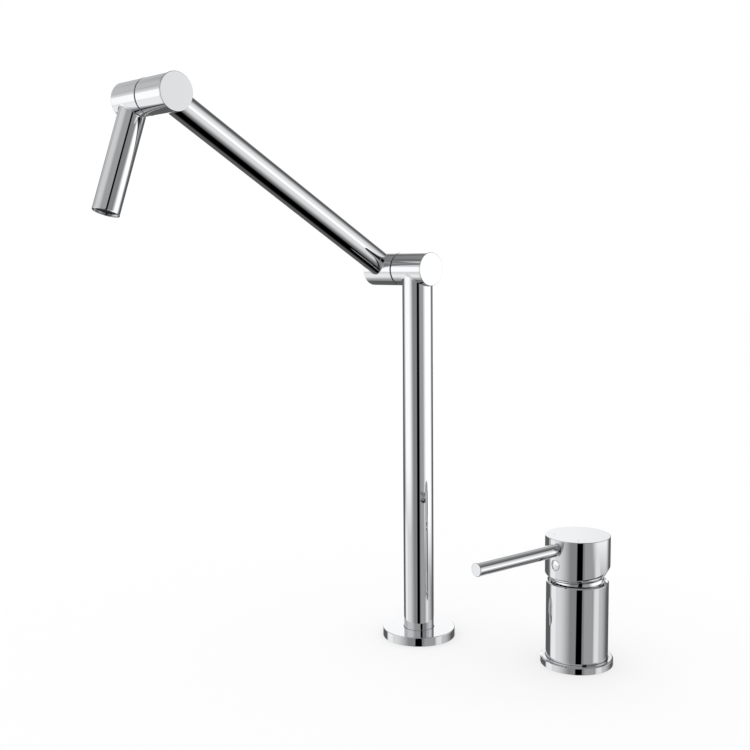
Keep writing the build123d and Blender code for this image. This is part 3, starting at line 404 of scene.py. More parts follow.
# Lapped alumina: hard white ceramic with a glassy face
ceramicLook = {
    "color": "#F0EFEA", "shades": ("#E6E5DF", "#F0EFEA"), "roughness": 0.12, "grainMm": 0.5, "detail": 2.0,
}
ceramic = mottled("lappedAlumina", ceramicLook, 0.0, IOR=1.76)[0]

# Baked enamel dots, one for hot and one for cold, both read as grey
enamelLook = {
    "color": "#2B2C30", "shades": ("#232428", "#2B2C30"), "roughness": 0.3, "grainMm": 0.4, "detail": 1.0,
}
enamel = mottled("bakedEnamel", enamelLook, 0.0, IOR=1.5)[0]
print("materials made")

kept = {
    "brass": brass, "steel": steel, "rubber": rubber, "acetal": acetal, "black_acetal": blackAcetal,
    "ceramic": ceramic, "chrome": chrome, "mark_enamel": enamel,
}
slotOf = {row["node"]: row["material_slot"] for row in frame["record"]["subparts"]}


# A finished piece stands for the node that it replaces and has that node's finish
def fit(piece, body, node):
    piece.data.materials.clear()
    piece.data.materials.append(kept[slotOf[node]])
    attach(piece, body)
    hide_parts(node)
    return piece


# Column flange, hollow below for the gasket and the shank's plate
flange = {
    "radius": 30.0, "height": 7.3, "hole": 12.85, "edge": 0.45, "footEdge": 0.15, "holeEdge": 0.25,
    "pocket": 26.3, "pocketTop": 1.5, "ledge": 20.3, "ledgeTop": 4.5,
}
profile = roundProfile([
    (flange["pocket"], 0), (flange["radius"], 0, flange["footEdge"]),
    (flange["radius"], flange["height"], flange["edge"]),
    (flange["hole"], flange["height"], flange["holeEdge"]), (flange["hole"], flange["ledgeTop"]),
    (flange["ledge"], flange["ledgeTop"]), (flange["ledge"], flange["pocketTop"]),
    (flange["pocket"], flange["pocketTop"]),
])
piece = makeMesh("flangePlate", [(turned(profile, np.zeros(3), upZ, upX, 144), "loop")])
fit(piece, "deck_unit", "deck_flange")

# Column tube, sitting under the lower barrel, with the keeper screw's hole at the back
column = {
    "radius": 12.5, "bore": 11.0, "foot": 5.55, "footEdge": 0.3, "middle": 150.0, "barrel": 13.55,
    "columns": (27, 37), "holeRows": np.linspace(19.2, 13.2, 11),
}
screwHole = {"radius": 2.05, "height": 16.2, "bevel": 0.15, "walls": [(2.05, 11.6), (0.3, 11.6)]}
rows = [
    (column["bore"], column["foot"], 0, 1), (column["bore"], place["hingeHeight"], -1, column["barrel"]),
    *brazeRows(column["radius"], place["hingeHeight"], -1, column["barrel"])[::-1],
    (column["radius"], column["middle"], 0, 1),
    *[(column["radius"], z, 0, 1) for z in column["holeRows"]],
    (column["radius"], column["foot"] + column["footEdge"], 0, 1),
    (column["radius"] - column["footEdge"], column["foot"], 0, 1),
]
grid = coped(rows, np.zeros(3), upZ, 128)
first = len(rows) - 2 - len(column["holeRows"])
window = (first, first + len(column["holeRows"]) - 1)
skip = np.zeros(grid.shape[:2], bool)
skip[window[0]:window[1], column["columns"][0]:column["columns"][1]] = True
patch = drilled(grid, window, column["columns"], np.zeros(3), -upX, upY, column["radius"], screwHole)
piece = makeMesh(
    "columnTube", [(grid, "loop", skip), patch], weld=True, barrel=(np.zeros(3), upZ, column["radius"]),
)
fit(piece, "column", "column_tube")

# Both elbows have the same section: barrel, neck, closing cap, journal, washer and spindle
elbow = {
    "radius": 13.5, "edge": 0.35, "seamEdge": 0.3, "capEdge": 0.12, "gap": 1.2,
    "neckSink": 0.6, "neck": 12.0, "columnNeck": (10.95, 5.7), "tubeNeck": (8.45, 6.05),
    "capRim": 1.0, "capSeat": 11.0, "capSeatDepth": 6.0, "plug": 10.95, "plugDepth": 5.4,
    "capHollow": 7.95, "capWall": 1.3, "chamber": 10.0, "journal": 8.1, "journalDepth": 11.0,
    "washer": 12.35, "washerSink": 0.8, "spindle": 7.05, "spindleDepth": 11.8,
    "waterway": 6.05, "waterwayDepth": 20.0,
}


# Neck that plugs into a tube, starting inside the barrel's wall
def neckShell(hinge, x, towards, outer, bore):
    origin = np.array([x, hinge[1], hinge[2]])
    sunk, end = elbow["radius"] - elbow["neckSink"], elbow["radius"] + elbow["neck"]
    rows = [(outer, 0, 1, sunk), (outer, end, 0, 1), (bore, end, 0, 1), (bore, 0, 1, sunk)]
    return coped(rows, origin, towards, 48), "loop"


# An elbow's housing, closing cap and barrel: three turned profiles along X, and the
# necks that plug into the tubes
def makeElbow(
    hinge, seam, face, housingX, housingDir, housingNeck, barrelX, barrelDir, barrelEnd, names, bodies,
    replaced,
):
    origin = np.array([0, hinge[1], hinge[2]])
    r, edge = elbow["radius"], elbow["edge"]
    back = face - elbow["capRim"]
    seat, chamberEnd = back - elbow["capSeatDepth"], seam + elbow["journalDepth"]
    housing = roundProfile([
        (r, seam, elbow["seamEdge"]), (r, back, elbow["capEdge"]), (elbow["capSeat"], back),
        (elbow["capSeat"], seat), (elbow["chamber"], seat), (elbow["chamber"], chamberEnd),
        (elbow["journal"], chamberEnd), (elbow["journal"], seam),
    ])
    shells = [
        (turned(housing, origin, upX, upZ, 128), "loop"),
        neckShell(hinge, housingX, housingDir, *housingNeck),
    ]
    fit(makeMesh(names[0], shells), bodies[0], replaced[0])
    plugEnd, inside = back - elbow["plugDepth"], face - elbow["capWall"]
    cap = roundProfile([
        (poleR, face), (r, face, edge), (r, back, elbow["capEdge"]), (elbow["plug"], back),
        (elbow["plug"], plugEnd), (elbow["capHollow"], plugEnd), (elbow["capHollow"], inside),
        (poleR, inside),
    ], loop=False)
    fit(makeMesh(names[1], [(turned(cap, origin, upX, upZ, 128), "poles")]), bodies[0], replaced[1])
    mouth = seam - elbow["gap"]
    sunk, spindleEnd = mouth - elbow["washerSink"], mouth - elbow["spindleDepth"]
    waterwayEnd = mouth - elbow["waterwayDepth"]
    barrel = roundProfile([
        (poleR, barrelEnd), (r, barrelEnd, edge), (r, mouth, elbow["seamEdge"]), (elbow["washer"], mouth),
        (elbow["washer"], sunk), (elbow["spindle"], sunk), (elbow["spindle"], spindleEnd),
        (elbow["waterway"], spindleEnd), (elbow["waterway"], waterwayEnd), (poleR, waterwayEnd),
    ], loop=False)
    shells = [
        (turned(barrel, origin, upX, upZ, 128), "poles"),
        neckShell(hinge, barrelX, barrelDir, *elbow["tubeNeck"]),
    ]
    fit(makeMesh(names[2], shells), bodies[1], replaced[2])


makeElbow(
    lowerHinge, place["lowerSeam"], place["lowerFace"],
    0.0, -upZ, elbow["columnNeck"], place["armX"], armDir, place["armEnd"],
    ("lowerElbowHousing", "lowerElbowCap", "armLowerBarrel"), ("column", "arm"),
    ("lower_elbow_housing", "lower_elbow_cap", "arm_lower_barrel"),
)
makeElbow(
    upperHinge, place["upperSeam"], place["upperFace"],
    place["armX"], -armDir, elbow["tubeNeck"], place["spoutX"], spoutDir, place["spoutEnd"],
    ("armUpperHousing", "upperElbowCap", "spoutBarrel"), ("arm", "spout"),
    ("arm_upper_housing", "upper_elbow_cap", "spout_barrel"),
)

# Arm and spout tubes
tube = {"radius": 10.0, "bore": 8.5, "barrel": 13.55, "rim": 0.35, "lastRow": 1.0}
reach = place["armReach"]
rows = [
    *brazeRows(tube["radius"], 0, 1, tube["barrel"])[::-1], (tube["radius"], reach / 2, 0, 1),
    *brazeRows(tube["radius"], reach, -1, tube["barrel"]),
    (tube["bore"], reach, -1, tube["barrel"]), (tube["bore"], 0, 1, tube["barrel"]),
]
piece = makeMesh("armTube", [(coped(rows, lowerHinge + place["armX"] * upX, armDir, 128), "loop")])
fit(piece, "arm", "arm_tube")

reach, rim = place["spoutReach"], tube["rim"]
quarter = np.linspace(0, pi / 2, 5)
turnIn = [(tube["radius"] - rim + rim * cos(t), reach - rim + rim * sin(t), 0, 1) for t in quarter]
turnBack = [(tube["bore"] + rim - rim * sin(t), reach - rim + rim * cos(t), 0, 1) for t in quarter]
rows = [
    *brazeRows(tube["radius"], 0, 1, tube["barrel"])[::-1],
    (tube["radius"], reach - tube["lastRow"], 0, 1), *turnIn, *turnBack,
    (tube["bore"], reach - tube["lastRow"], 0, 1), (tube["bore"], 0, 1, tube["barrel"]),
]
piece = makeMesh("spoutTube", [(coped(rows, upperHinge + place["spoutX"] * upX, spoutDir, 128), "loop")])
fit(piece, "spout", "spout_tube")

# Aerator's shell, a little inside the spout's mouth
aerator = {"recess": 1.2, "length": 13.0, "radius": 8.45, "inside": 7.25, "edge": 0.3, "outerEdge": 0.15}
mouth = upperHinge + place["spoutX"] * upX + spoutDir * place["spoutReach"]
deep = aerator["recess"] + aerator["length"]
profile = roundProfile([
    (aerator["radius"], aerator["recess"], aerator["outerEdge"]), (aerator["radius"], deep),
    (aerator["inside"], deep), (aerator["inside"], aerator["recess"], aerator["edge"]),
])
piece = makeMesh("aeratorShell", [(turned(profile, mouth, -spoutDir, upX, 96), "loop")])
fit(piece, "spout", "aerator_shell")
print("column, arm and spout made")

# Mixer base ring, with its floor on the gasket
ring = {
    "radius": 27.98, "height": 5.8, "chamfer": 0.9, "chamferEdge": 0.25, "edge": 0.15, "bore": 24.45,
    "floor": (1.5, 2.5), "floorBore": 18.0, "pocket": 25.4,
}
floorLow, floorTop = ring["floor"]
profile = roundProfile([
    (ring["pocket"], 0), (ring["radius"], 0, ring["edge"]),
    (ring["radius"], ring["height"] - ring["chamfer"], ring["chamferEdge"]),
    (ring["radius"] - ring["chamfer"], ring["height"], ring["chamferEdge"]),
    (ring["bore"], ring["height"], ring["edge"]), (ring["bore"], floorTop), (ring["floorBore"], floorTop),
    (ring["floorBore"], floorLow), (ring["pocket"], floorLow),
])
piece = makeMesh("mixerBaseRing", [(turned(profile, mixerFoot, upZ, mixerSide, 144), "loop")])
fit(piece, "deck_unit", "mixer_base_ring")

# Mixer body, its rim bevelled on both sides of a narrow land
body = {
    "radius": 24.0, "foot": 2.5, "footEdge": 0.2, "top": 66.0, "rim": 0.8, "rimEdge": 0.3, "land": 0.2,
    "landEdge": 0.12, "bevel": 1.3, "bevelEdge": 0.2, "ledge": 60.5, "thread": 20.0, "threadEnd": 50.7,
    "seat": 17.55, "seatEnd": 14.0, "socket": 16.05,
}
rimR = body["radius"] - body["rim"]
bevelR = rimR - body["land"]
mouthR = bevelR - body["bevel"]
profile = roundProfile([
    (body["socket"], body["foot"]), (body["radius"], body["foot"], body["footEdge"]),
    (body["radius"], body["top"] - body["rim"], body["rimEdge"]), (rimR, body["top"], body["landEdge"]),
    (bevelR, body["top"], body["landEdge"]), (mouthR, body["top"] - body["bevel"], body["bevelEdge"]),
    (mouthR, body["ledge"]), (body["thread"], body["ledge"]), (body["thread"], body["threadEnd"]),
    (body["seat"], body["threadEnd"]), (body["seat"], body["seatEnd"]), (body["socket"], body["seatEnd"]),
])
piece = makeMesh("mixerBody", [(turned(profile, mixerFoot, upZ, mixerSide, 144), "loop")])
fit(piece, "deck_unit", "mixer_body")

# Dome over the cartridge, round about the pivot and then sloping to its opening
dome = {
    "radius": 20.5, "wall": 2.05, "foot": 60.5, "shoulder": 18.0, "opening": 11.0, "rise": 8.4,
    "innerRise": 0.8,
}
t = np.radians(np.linspace(0, dome["shoulder"], 8))
arc = np.stack([dome["radius"] * np.cos(t), place["pivotHeight"] + dome["radius"] * np.sin(t)], 1)
endR, endZ = arc[-1]
openZ = place["pivotHeight"] + dome["rise"]
innerR = dome["radius"] - dome["wall"]
profile = np.concatenate([
    [(dome["radius"], dome["foot"])], arc,
    [
        (dome["opening"], openZ), (dome["opening"], openZ - dome["wall"]),
        (endR - dome["wall"], endZ - dome["wall"]),
        (innerR, place["pivotHeight"] + dome["innerRise"]), (innerR, dome["foot"]),
    ],
])
piece = makeMesh("cartridgeDome", [(turned(profile, mixerFoot, upZ, mixerSide, 144), "loop")])
fit(piece, "deck_unit", "cartridge_dome")

# Handle cap: a cylinder whose foot is cut by a leaning cone, hollowed by a sphere about the
# pivot, with a window of faces left open for its two holes
cap = {
    "radius": 25.0, "top": 101.8, "edge": 0.4, "flatRim": 0.8, "middle": 0.5, "lipHeight": 69.4,
    "lipRadius": 21.0, "lipShift": 0.7, "lipSlope": 2.0, "coneAngle": 33.2, "coneLean": 6.0,
    "hollow": 20.9, "roof": 12.0, "footRow": 0.25, "window": (76.5, 99.9), "windowGap": 0.5,
    "windowRows": 28, "columns": (113, 127),
}
leverSeat = {
    "radius": 4.4, "height": 93.7, "bevel": 0.12,
    "walls": [(4.4, 24.21), (3.05, 24.21), (3.05, 9.2), (0.3, 9.2)],
}
coverHole = {"radius": 3.85, "height": 82.0, "bevelFloor": 24.41, "walls": [(3.85, 21.0), (0.3, 21.0)]}
around = 160
a = np.linspace(0, 2 * pi, around, endpoint=False)
lean, slope = radians(cap["coneLean"]), tan(radians(cap["coneAngle"]))
coneAxis = np.array([0, -sin(lean), cos(lean)])
coneFoot = np.array([0, -cap["lipShift"], cap["lipHeight"]])


# Distance outside the cone of the points at radius r, angle a and height z
def outsideCone(r, z):
    point = np.stack([r * np.cos(a), r * np.sin(a), z], -1) - coneFoot
    along = point @ coneAxis
    return np.linalg.norm(point - along[:, None] * coneAxis, axis=-1) - (cap["lipRadius"] + slope * along)


# Radius of the cone at each angle for heights z, by halving
def coneRadius(z):
    low, high = np.full(around, 5.0), np.full(around, 60.0)
    for _ in range(40):
        middle = (low + high) / 2
        inside = outsideCone(middle, z) < 0
        low, high = np.where(inside, middle, low), np.where(inside, high, middle)
    return low


low, high = np.full(around, 66.0), np.full(around, 99.0)
for _ in range(40):  # height at which the cone meets the cylinder
    middle = (low + high) / 2
    out = outsideCone(np.full(around, cap["radius"]), middle) > 0
    low, high = np.where(out, middle, low), np.where(out, high, middle)
meet = low
lipZ = np.full(around, cap["lipHeight"])
for _ in range(12):  # the lip lies in a plane that is higher at the back
    lipR = coneRadius(lipZ)
    lipZ = cap["lipHeight"] + lipR * np.sin(a) * tan(radians(cap["lipSlope"]))
flat = np.ones(around)
rings = [
    (flat * cap["middle"], flat * cap["top"]), (flat * (cap["radius"] - cap["flatRim"]), flat * cap["top"]),
]
e = cap["edge"]
for s in np.linspace(0, pi / 2, 6):
    rings.append((flat * (cap["radius"] - e + e * sin(s)), flat * (cap["top"] - e + e * cos(s))))
windowTop = len(rings)
windowLow = np.maximum(cap["window"][0], meet + cap["windowGap"])
for s in np.linspace(0, 1, cap["windowRows"] + 1):
    rings.append((flat * cap["radius"], cap["window"][1] + (windowLow - cap["window"][1]) * s))
rings.append((flat * cap["radius"], meet + cap["footRow"]))
for s in np.linspace(0, 1, 9):
    z = meet + (lipZ - meet) * s
    rings.append((np.minimum(coneRadius(z), cap["radius"]), z))
rings.append((np.sqrt(cap["hollow"] ** 2 - (lipZ - place["pivotHeight"]) ** 2), lipZ))
roofZ = place["pivotHeight"] + cap["roof"]
for s in np.linspace(0, 1, 12)[1:]:
    z = lipZ + (roofZ - lipZ) * s
    rings.append((np.sqrt(cap["hollow"] ** 2 - (z - place["pivotHeight"]) ** 2), z))
rings.append((flat * cap["middle"], flat * roofZ))
radius = np.array([r for r, z in rings])
height = np.array([z for r, z in rings])
circle = np.cos(a)[:, None] * mixerSide + np.sin(a)[:, None] * mixerBack
points = mixerFoot + radius[..., None] * circle + height[..., None] * upZ
left, right = cap["columns"]
middleRow = windowTop + cap["windowRows"] // 2
lastRow = windowTop + cap["windowRows"]
skip = np.zeros((len(rings) - 1, around), bool)
skip[windowTop:lastRow, left:right] = True
shells = [(points, "poles", skip)]
for rows, hole in (((windowTop, middleRow), leverSeat), ((middleRow, lastRow), coverHole)):
    shells.append(
        drilled(points, rows, cap["columns"], mixerFoot, mixerSide, -mixerBack, cap["radius"], hole),
    )
piece = makeMesh("handleCap", shells, sharp=20, weld=True, barrel=(mixerFoot, upZ, cap["radius"]))
fit(piece, "handle", "handle_cap")

# Lever, its neck seated in the cap
lever = {
    "height": 93.7, "radius": 5.0, "reach": 106.8, "neck": 3.8, "neckStart": 24.26, "neckEnd": 27.0,
    "thread": 3.0, "threadEnd": 9.5, "edge": 0.45, "rootEdge": 0.8,
}
profile = roundProfile([
    (poleR, lever["threadEnd"]), (lever["thread"], lever["threadEnd"]),
    (lever["thread"], lever["neckStart"]), (lever["neck"], lever["neckStart"]),
    (lever["neck"], lever["neckEnd"]), (lever["radius"], lever["neckEnd"], lever["rootEdge"]),
    (lever["radius"], lever["reach"], lever["edge"]), (poleR, lever["reach"]),
], loop=False)
origin = mixerFoot + lever["height"] * upZ
fit(makeMesh("leverBar", [(turned(profile, origin, -mixerBack, upZ, 96), "poles")]), "handle", "lever_bar")

# Cover over the handle's screw: a small plug with a crowned face
cover = {"height": 82.0, "radius": 3.8, "seat": 21.05, "face": 24.71, "crown": 0.6, "edge": 0.4}
t = np.linspace(1, 0.02, 10)
crowned = [(cover["radius"] * v, cover["face"] + cover["crown"] * (1 - v * v)) for v in t]
plug = roundProfile([
    (poleR, cover["seat"]), (cover["radius"], cover["seat"]), (*crowned[0], cover["edge"]), crowned[3],
], loop=False)
profile = np.concatenate([plug, crowned[4:]])
origin = mixerFoot + cover["height"] * upZ
piece = makeMesh("screwCover", [(turned(profile, origin, -mixerBack, upZ, 48), "poles")], sharp=50)
fit(piece, "handle", "screw_cover")

# The two enamel dots on the cap
marks = {"radius": 0.6, "circle": 17.9, "angle": 43.0, "proud": 0.04, "crown": (0.4, 0.9), "sunk": 0.3}
shells = []
for side in (-1, 1):
    t = radians(-90 + side * marks["angle"])
    spot = mixerFoot + marks["circle"] * (cos(t) * mixerSide + sin(t) * mixerBack) + cap["top"] * upZ
    profile = [
        (poleR, marks["proud"]), (marks["crown"][0], marks["proud"] * marks["crown"][1]),
        (marks["radius"], 0), (marks["radius"], -marks["sunk"]), (poleR, -marks["sunk"]),
    ]
    shells.append((turned(profile, spot, upZ, upX, 24), "poles"))
fit(makeMesh("temperatureMarks", shells), "handle", "temperature_marks")
print("mixer made")

# Column shank, from the inlet up: two threads, the plate under the flange, and the spigot
# with grooves for the keeper screw and two O-rings
shank = {
    "major": 13.2, "inlet": 10.47, "pitch": 1.814, "depth": 1.16, "end": -58.0, "inletEnd": -71.0,
    "threadStart": 1.0, "inletStart": 0.8, "chamfer": 0.4, "bore": 6.0, "plate": 20.0,
    "plateHeights": (1.5, 4.5), "plateEdge": 0.1, "spigot": 9.0, "keeper": 7.8,
    "keeperHeights": (13.9, 18.5), "rings": (38.0, 50.0), "ringDepth": 1.4, "ringHalf": 1.15,
    "top": 62.0, "topEdge": 0.3,
}
plateLow, plateTop = shank["plateHeights"]
threadRows = np.arange(shank["end"] + shank["threadStart"], plateLow, shank["pitch"] / 8)
inletRows = np.arange(shank["inletEnd"] + shank["inletStart"], shank["end"], shank["pitch"] / 8)
minor, inletMinor = shank["major"] - shank["depth"], shank["inlet"] - shank["depth"]
spigot, groove = shank["spigot"], shank["spigot"] - shank["ringDepth"]
plate, e = shank["plate"], shank["plateEdge"]
grooves = []
for height in shank["rings"]:
    low, high = height - shank["ringHalf"], height + shank["ringHalf"]
    grooves += [(spigot, low), (groove, low), (groove, high), (spigot, high)]
low, high = shank["keeperHeights"]
upper = [
    (minor, plateLow), (plate - e, plateLow), (plate, plateLow + e), (plate, plateTop - e),
    (plate - e, plateTop), (spigot, plateTop),
    (spigot, low), (shank["keeper"], low), (shank["keeper"], high), (spigot, high), *grooves,
    (spigot, shank["top"] - shank["topEdge"]), (spigot - shank["topEdge"], shank["top"]),
    (shank["bore"], shank["top"]),
]
inletFace = [(shank["bore"], shank["inletEnd"]), (inletMinor - shank["chamfer"], shank["inletEnd"])]
shoulder = [(inletMinor, shank["end"]), (minor - shank["chamfer"], shank["end"])]
grid = np.concatenate([
    turned(inletFace, np.zeros(3), upZ, upX, 72),
    threaded(inletRows, shank["inlet"], shank["depth"], shank["pitch"], np.zeros(3), upZ, upX),
    turned(shoulder, np.zeros(3), upZ, upX, 72),
    threaded(threadRows, shank["major"], shank["depth"], shank["pitch"], np.zeros(3), upZ, upX),
    turned(upper, np.zeros(3), upZ, upX, 72),
])
underDeck = [fit(makeMesh("columnShank", [(grid, "loop")]), "deck_unit", "base_shank")]

# Mixer shank, hollow for the three hoses
hollow = {
    "major": 16.0, "pitch": 1.5, "depth": 0.92, "end": -58.0, "threadStart": 0.6, "top": 14.0,
    "topEdge": 0.2, "bore": 13.5, "chamfer": 0.4,
}
e = hollow["chamfer"]
threadRows = np.arange(hollow["end"] + hollow["threadStart"], hollow["top"] - e, hollow["pitch"] / 8)
minor = hollow["major"] - hollow["depth"]
endFace = [
    (hollow["bore"], hollow["end"] + e), (hollow["bore"] + e, hollow["end"]), (minor - e, hollow["end"]),
]
topFace = [(minor - hollow["topEdge"], hollow["top"]), (hollow["bore"], hollow["top"])]
grid = np.concatenate([
    turned(endFace, mixerFoot, upZ, mixerSide, 72),
    threaded(threadRows, hollow["major"], hollow["depth"], hollow["pitch"], mixerFoot, upZ, mixerSide),
    turned(topFace, mixerFoot, upZ, mixerSide, 72),
])
underDeck.append(fit(makeMesh("mixerShank", [(grid, "loop")]), "deck_unit", "mixer_shank"))

# Rubber washer, steel washer and lock nut of each unit, below the deck
fixings = {
    "shank": {
        "name": "column", "foot": np.zeros(3), "side": upX, "washer": 22.0, "bore": 13.5, "nut": 36.0,
        "nutBore": 13.25, "nutTop": -24.5, "nutHeight": 8.0,
    },
    "mixer": {
        "name": "mixer", "foot": mixerFoot, "side": mixerSide, "washer": 24.0, "bore": 16.3, "nut": 42.0,
        "nutBore": 16.05, "nutTop": -24.5, "nutHeight": 8.0,
    },
}
for node, part in fixings.items():
    for layer, top, low, edge in (
        ("rubber_washer", -20.0, -23.0, 0.6), ("steel_washer", -23.0, -24.5, 0.25),
    ):
        profile = roundProfile([
            (part["bore"], low, edge / 2), (part["washer"], low, edge), (part["washer"], top, edge),
            (part["bore"], top, edge / 2),
        ])
        name = part["name"] + "".join(word.capitalize() for word in layer.split("_"))
        piece = makeMesh(name, [(turned(profile, part["foot"], upZ, part["side"], 72), "loop")])
        underDeck.append(fit(piece, "deck_unit", f"{node}_{layer}"))
    origin = part["foot"] + part["nutTop"] * upZ
    grid = hexagonNut(part["nut"], part["nutBore"], part["nutHeight"], origin, -upZ, part["side"])
    piece = makeMesh(part["name"] + "LockNut", [(grid, "loop")], sharp=25)
    underDeck.append(fit(piece, "deck_unit", f"{node}_lock_nut"))

# Gaskets between the deck and each unit
gasket = {"height": 1.5, "edge": 0.5, "boreEdge": 0.3}
for name, node, foot, outer, bore in (
    ("flangeGasket", "flange_gasket", np.zeros(3), 26.0, 13.5),
    ("mixerGasket", "mixer_gasket", mixerFoot, 25.1, 18.0),
):
    profile = roundProfile([
        (bore, 0, gasket["boreEdge"]), (outer, 0, gasket["edge"]),
        (outer, gasket["height"], gasket["edge"]), (bore, gasket["height"], gasket["boreEdge"]),
    ])
    fit(makeMesh(name, [(turned(profile, foot, upZ, upX, 96), "loop")]), "deck_unit", node)
for piece in underDeck:
    piece.visible_glossy = False  # the deck hides it from the chrome above
print("fixings made")

# The solids that stay as they are, each with its real material
for name, node in nodes.items():
    node.data.materials.clear()
    node.data.materials.append(kept[slotOf[name]])

# Camera, as the photograph was taken: pitch and roll in radians, azimuth in degrees
view = {
    "focalPx": 1074.64, "picturePx": 750, "sensor": 36.0, "pitch": 0.109, "roll": -0.0094, "azimuth": 45.6,
    "at": (602.7, -639.3, 316.3),
}
azimuth = radians(view["azimuth"])
ahead = np.array([-sin(azimuth), cos(azimuth), 0])
right = np.array([cos(azimuth), sin(azimuth), 0])
look = ahead * cos(view["pitch"]) - upZ * sin(view["pitch"])
up = np.cross(right, look)
rolledRight = cos(view["roll"]) * right + sin(view["roll"]) * up
rolledUp = -sin(view["roll"]) * right + cos(view["roll"]) * up
cameraData = bpy.data.cameras.new("camera")
cameraData.sensor_width = view["sensor"]
cameraData.lens = view["focalPx"] / view["picturePx"] * view["sensor"]
camera = bpy.data.objects.new("camera", cameraData)
bpy.context.scene.collection.objects.link(camera)
spin = Matrix((rolledRight, rolledUp, -look)).transposed()
camera.matrix_world = Matrix.Translation(Vector(view["at"]) * mm) @ spin.to_4x4()
bpy.context.scene.camera = camera

# A white table. It is half lit and half plain white where it is seen, which keeps the
# shadows on it faint and meets the white behind it.
tableLook = {"halfMetres": 6.0, "color": "#FFFFFF", "roughness": 0.9, "plainShare": 0.5}
half = tableLook["halfMetres"]
table = bpy.data.meshes.new("whiteTable")
table.from_pydata(
    [(-half, -half, 0), (half, -half, 0), (half, half, 0), (-half, half, 0)], [], [(0, 1, 2, 3)],
)
floor = bpy.data.objects.new("whiteTable", table)
bpy.context.scene.collection.objects.link(floor)
paper, tree, shader = newMaterial("whitePaper", tableLook["color"], 0.0, tableLook["roughness"])
shader.inputs["Specular IOR Level"].default_value = 0.0
seen = addNode(tree, "ShaderNodeLightPath")
sight = mathOf(tree, "MAXIMUM", seen.outputs["Is Camera Ray"], seen.outputs["Is Glossy Ray"])
sight = mathOf(tree, "MAXIMUM", sight, seen.outputs["Is Transmission Ray"])
share = mathOf(tree, "MULTIPLY", sight, tableLook["plainShare"])
white = addNode(tree, "ShaderNodeEmission", {"Color": (1.0, 1.0, 1.0, 1.0), "Strength": 1.0})
mixed = addNode(tree, "ShaderNodeMixShader", {0: share, 1: shader.outputs[0], 2: white.outputs[0]})
tree.links.new(mixed.outputs[0], tree.nodes["Material Output"].inputs["Surface"])
table.materials.append(paper)
# The metal mirrors the studio's soft boxes down to below the table, as in the photograph
floor.visible_glossy = False

# The studio that the metal mirrors: soft boxes between two azimuths and two heights, in
# degrees, each edge fading over its own width. Azimuth counts from the camera's side,
# positive to the right. The chrome gives back four fifths, so a level of 1.25 reads white.
softBoxes = {
    "darkRoom": {
        "azimuth": (-180, 180), "azimuthFade": (1, 1), "height": (-52, 90), "heightFade": (20, 1),
        "level": 0.12,
    },
    "ceiling": {
        "azimuth": (-180, 180), "azimuthFade": (1, 1), "height": (48, 90), "heightFade": (14, 1),
        "level": 0.28,
    },
    "backdrop": {
        "azimuth": (176, 192), "azimuthFade": (14, 25), "height": (-4, 12), "heightFade": (10, 36),
        "level": 1.25,
    },
    "backdropHigh": {
        "azimuth": (172, 192), "azimuthFade": (26, 18), "height": (12, 24), "heightFade": (6, 14),
        "level": 1.04,
    },
    "leftWall": {
        "azimuth": (-106, -84), "azimuthFade": (30, 80), "height": (-30, 10), "heightFade": (22, 28),
        "level": 0.80,
    },
    "leftBox": {
        "azimuth": (-102, -72), "azimuthFade": (20, 50), "height": (-10, 8), "heightFade": (12, 10),
        "level": 1.18,
    },
    "leftLow": {
        "azimuth": (-118, -98), "azimuthFade": (13, 14), "height": (-34, -15), "heightFade": (18, 5),
        "level": 0.98,
    },
    "rightBox": {
        "azimuth": (66, 104), "azimuthFade": (44, 32), "height": (-13, 0), "heightFade": (7, 7),
        "level": 1.25,
    },
    "rightHigh": {
        "azimuth": (82, 96), "azimuthFade": (36, 50), "height": (-2, 9), "heightFade": (10, 34),
        "level": 0.92,
    },
    "rightMiddle": {
        "azimuth": (66, 82), "azimuthFade": (26, 60), "height": (-26, -14), "heightFade": (10, 8),
        "level": 0.60,
    },
    "rightLow": {
        "azimuth": (60, 71), "azimuthFade": (20, 20), "height": (-28, -12), "heightFade": (44, 8),
        "level": 0.86,
    },
    "front": {
        "azimuth": (-60, 60), "azimuthFade": (30, 30), "height": (-55, 26), "heightFade": (20, 14),
        "level": 0.27,
    },
    "frontHigh": {
        "azimuth": (-60, 12), "azimuthFade": (30, 4), "height": (20, 36), "heightFade": (10, 14),
        "level": 0.40,
    },
    "frontRight": {
        "azimuth": (18, 44), "azimuthFade": (14, 20), "height": (-45, 6), "heightFade": (20, 16),
        "level": 0.38,
    },
    "leftCeiling": {
        "azimuth": (-100, -66), "azimuthFade": (12, 72), "height": (8, 32), "heightFade": (16, 14),
        "level": 0.72,
    },
    "leftBackCeiling": {
        "azimuth": (-150, -112), "azimuthFade": (24, 16), "height": (18, 30), "heightFade": (10, 16),
        "level": 0.58,
    },
    "leftBackLow": {
        "azimuth": (-128, -104), "azimuthFade": (20, 20), "height": (-46, -34), "heightFade": (8, 14),
        "level": 0.42,
    },
    "rightBackLow": {
        "azimuth": (148, 170), "azimuthFade": (10, 8), "height": (-50, -32), "heightFade": (12, 10),
        "level": 0.80,
    },
    "rightBackHigh": {
        "azimuth": (140, 170), "azimuthFade": (12, 8), "height": (37, 46), "heightFade": (6, 8),
        "level": 0.55,
    },
}
# The dark slot between the soft boxes, where the camera looks through: its middle leans by
# degrees of azimuth per degree of height, bends further above the horizon, and it widens
# below the horizon
slot = {
    "azimuth": 2.5, "lean": 0.3, "bend": 0.46, "half": 10.0, "widening": 0.12, "fade": 3.0,
    "height": (-60, 34), "heightFade": (8, 10),
}


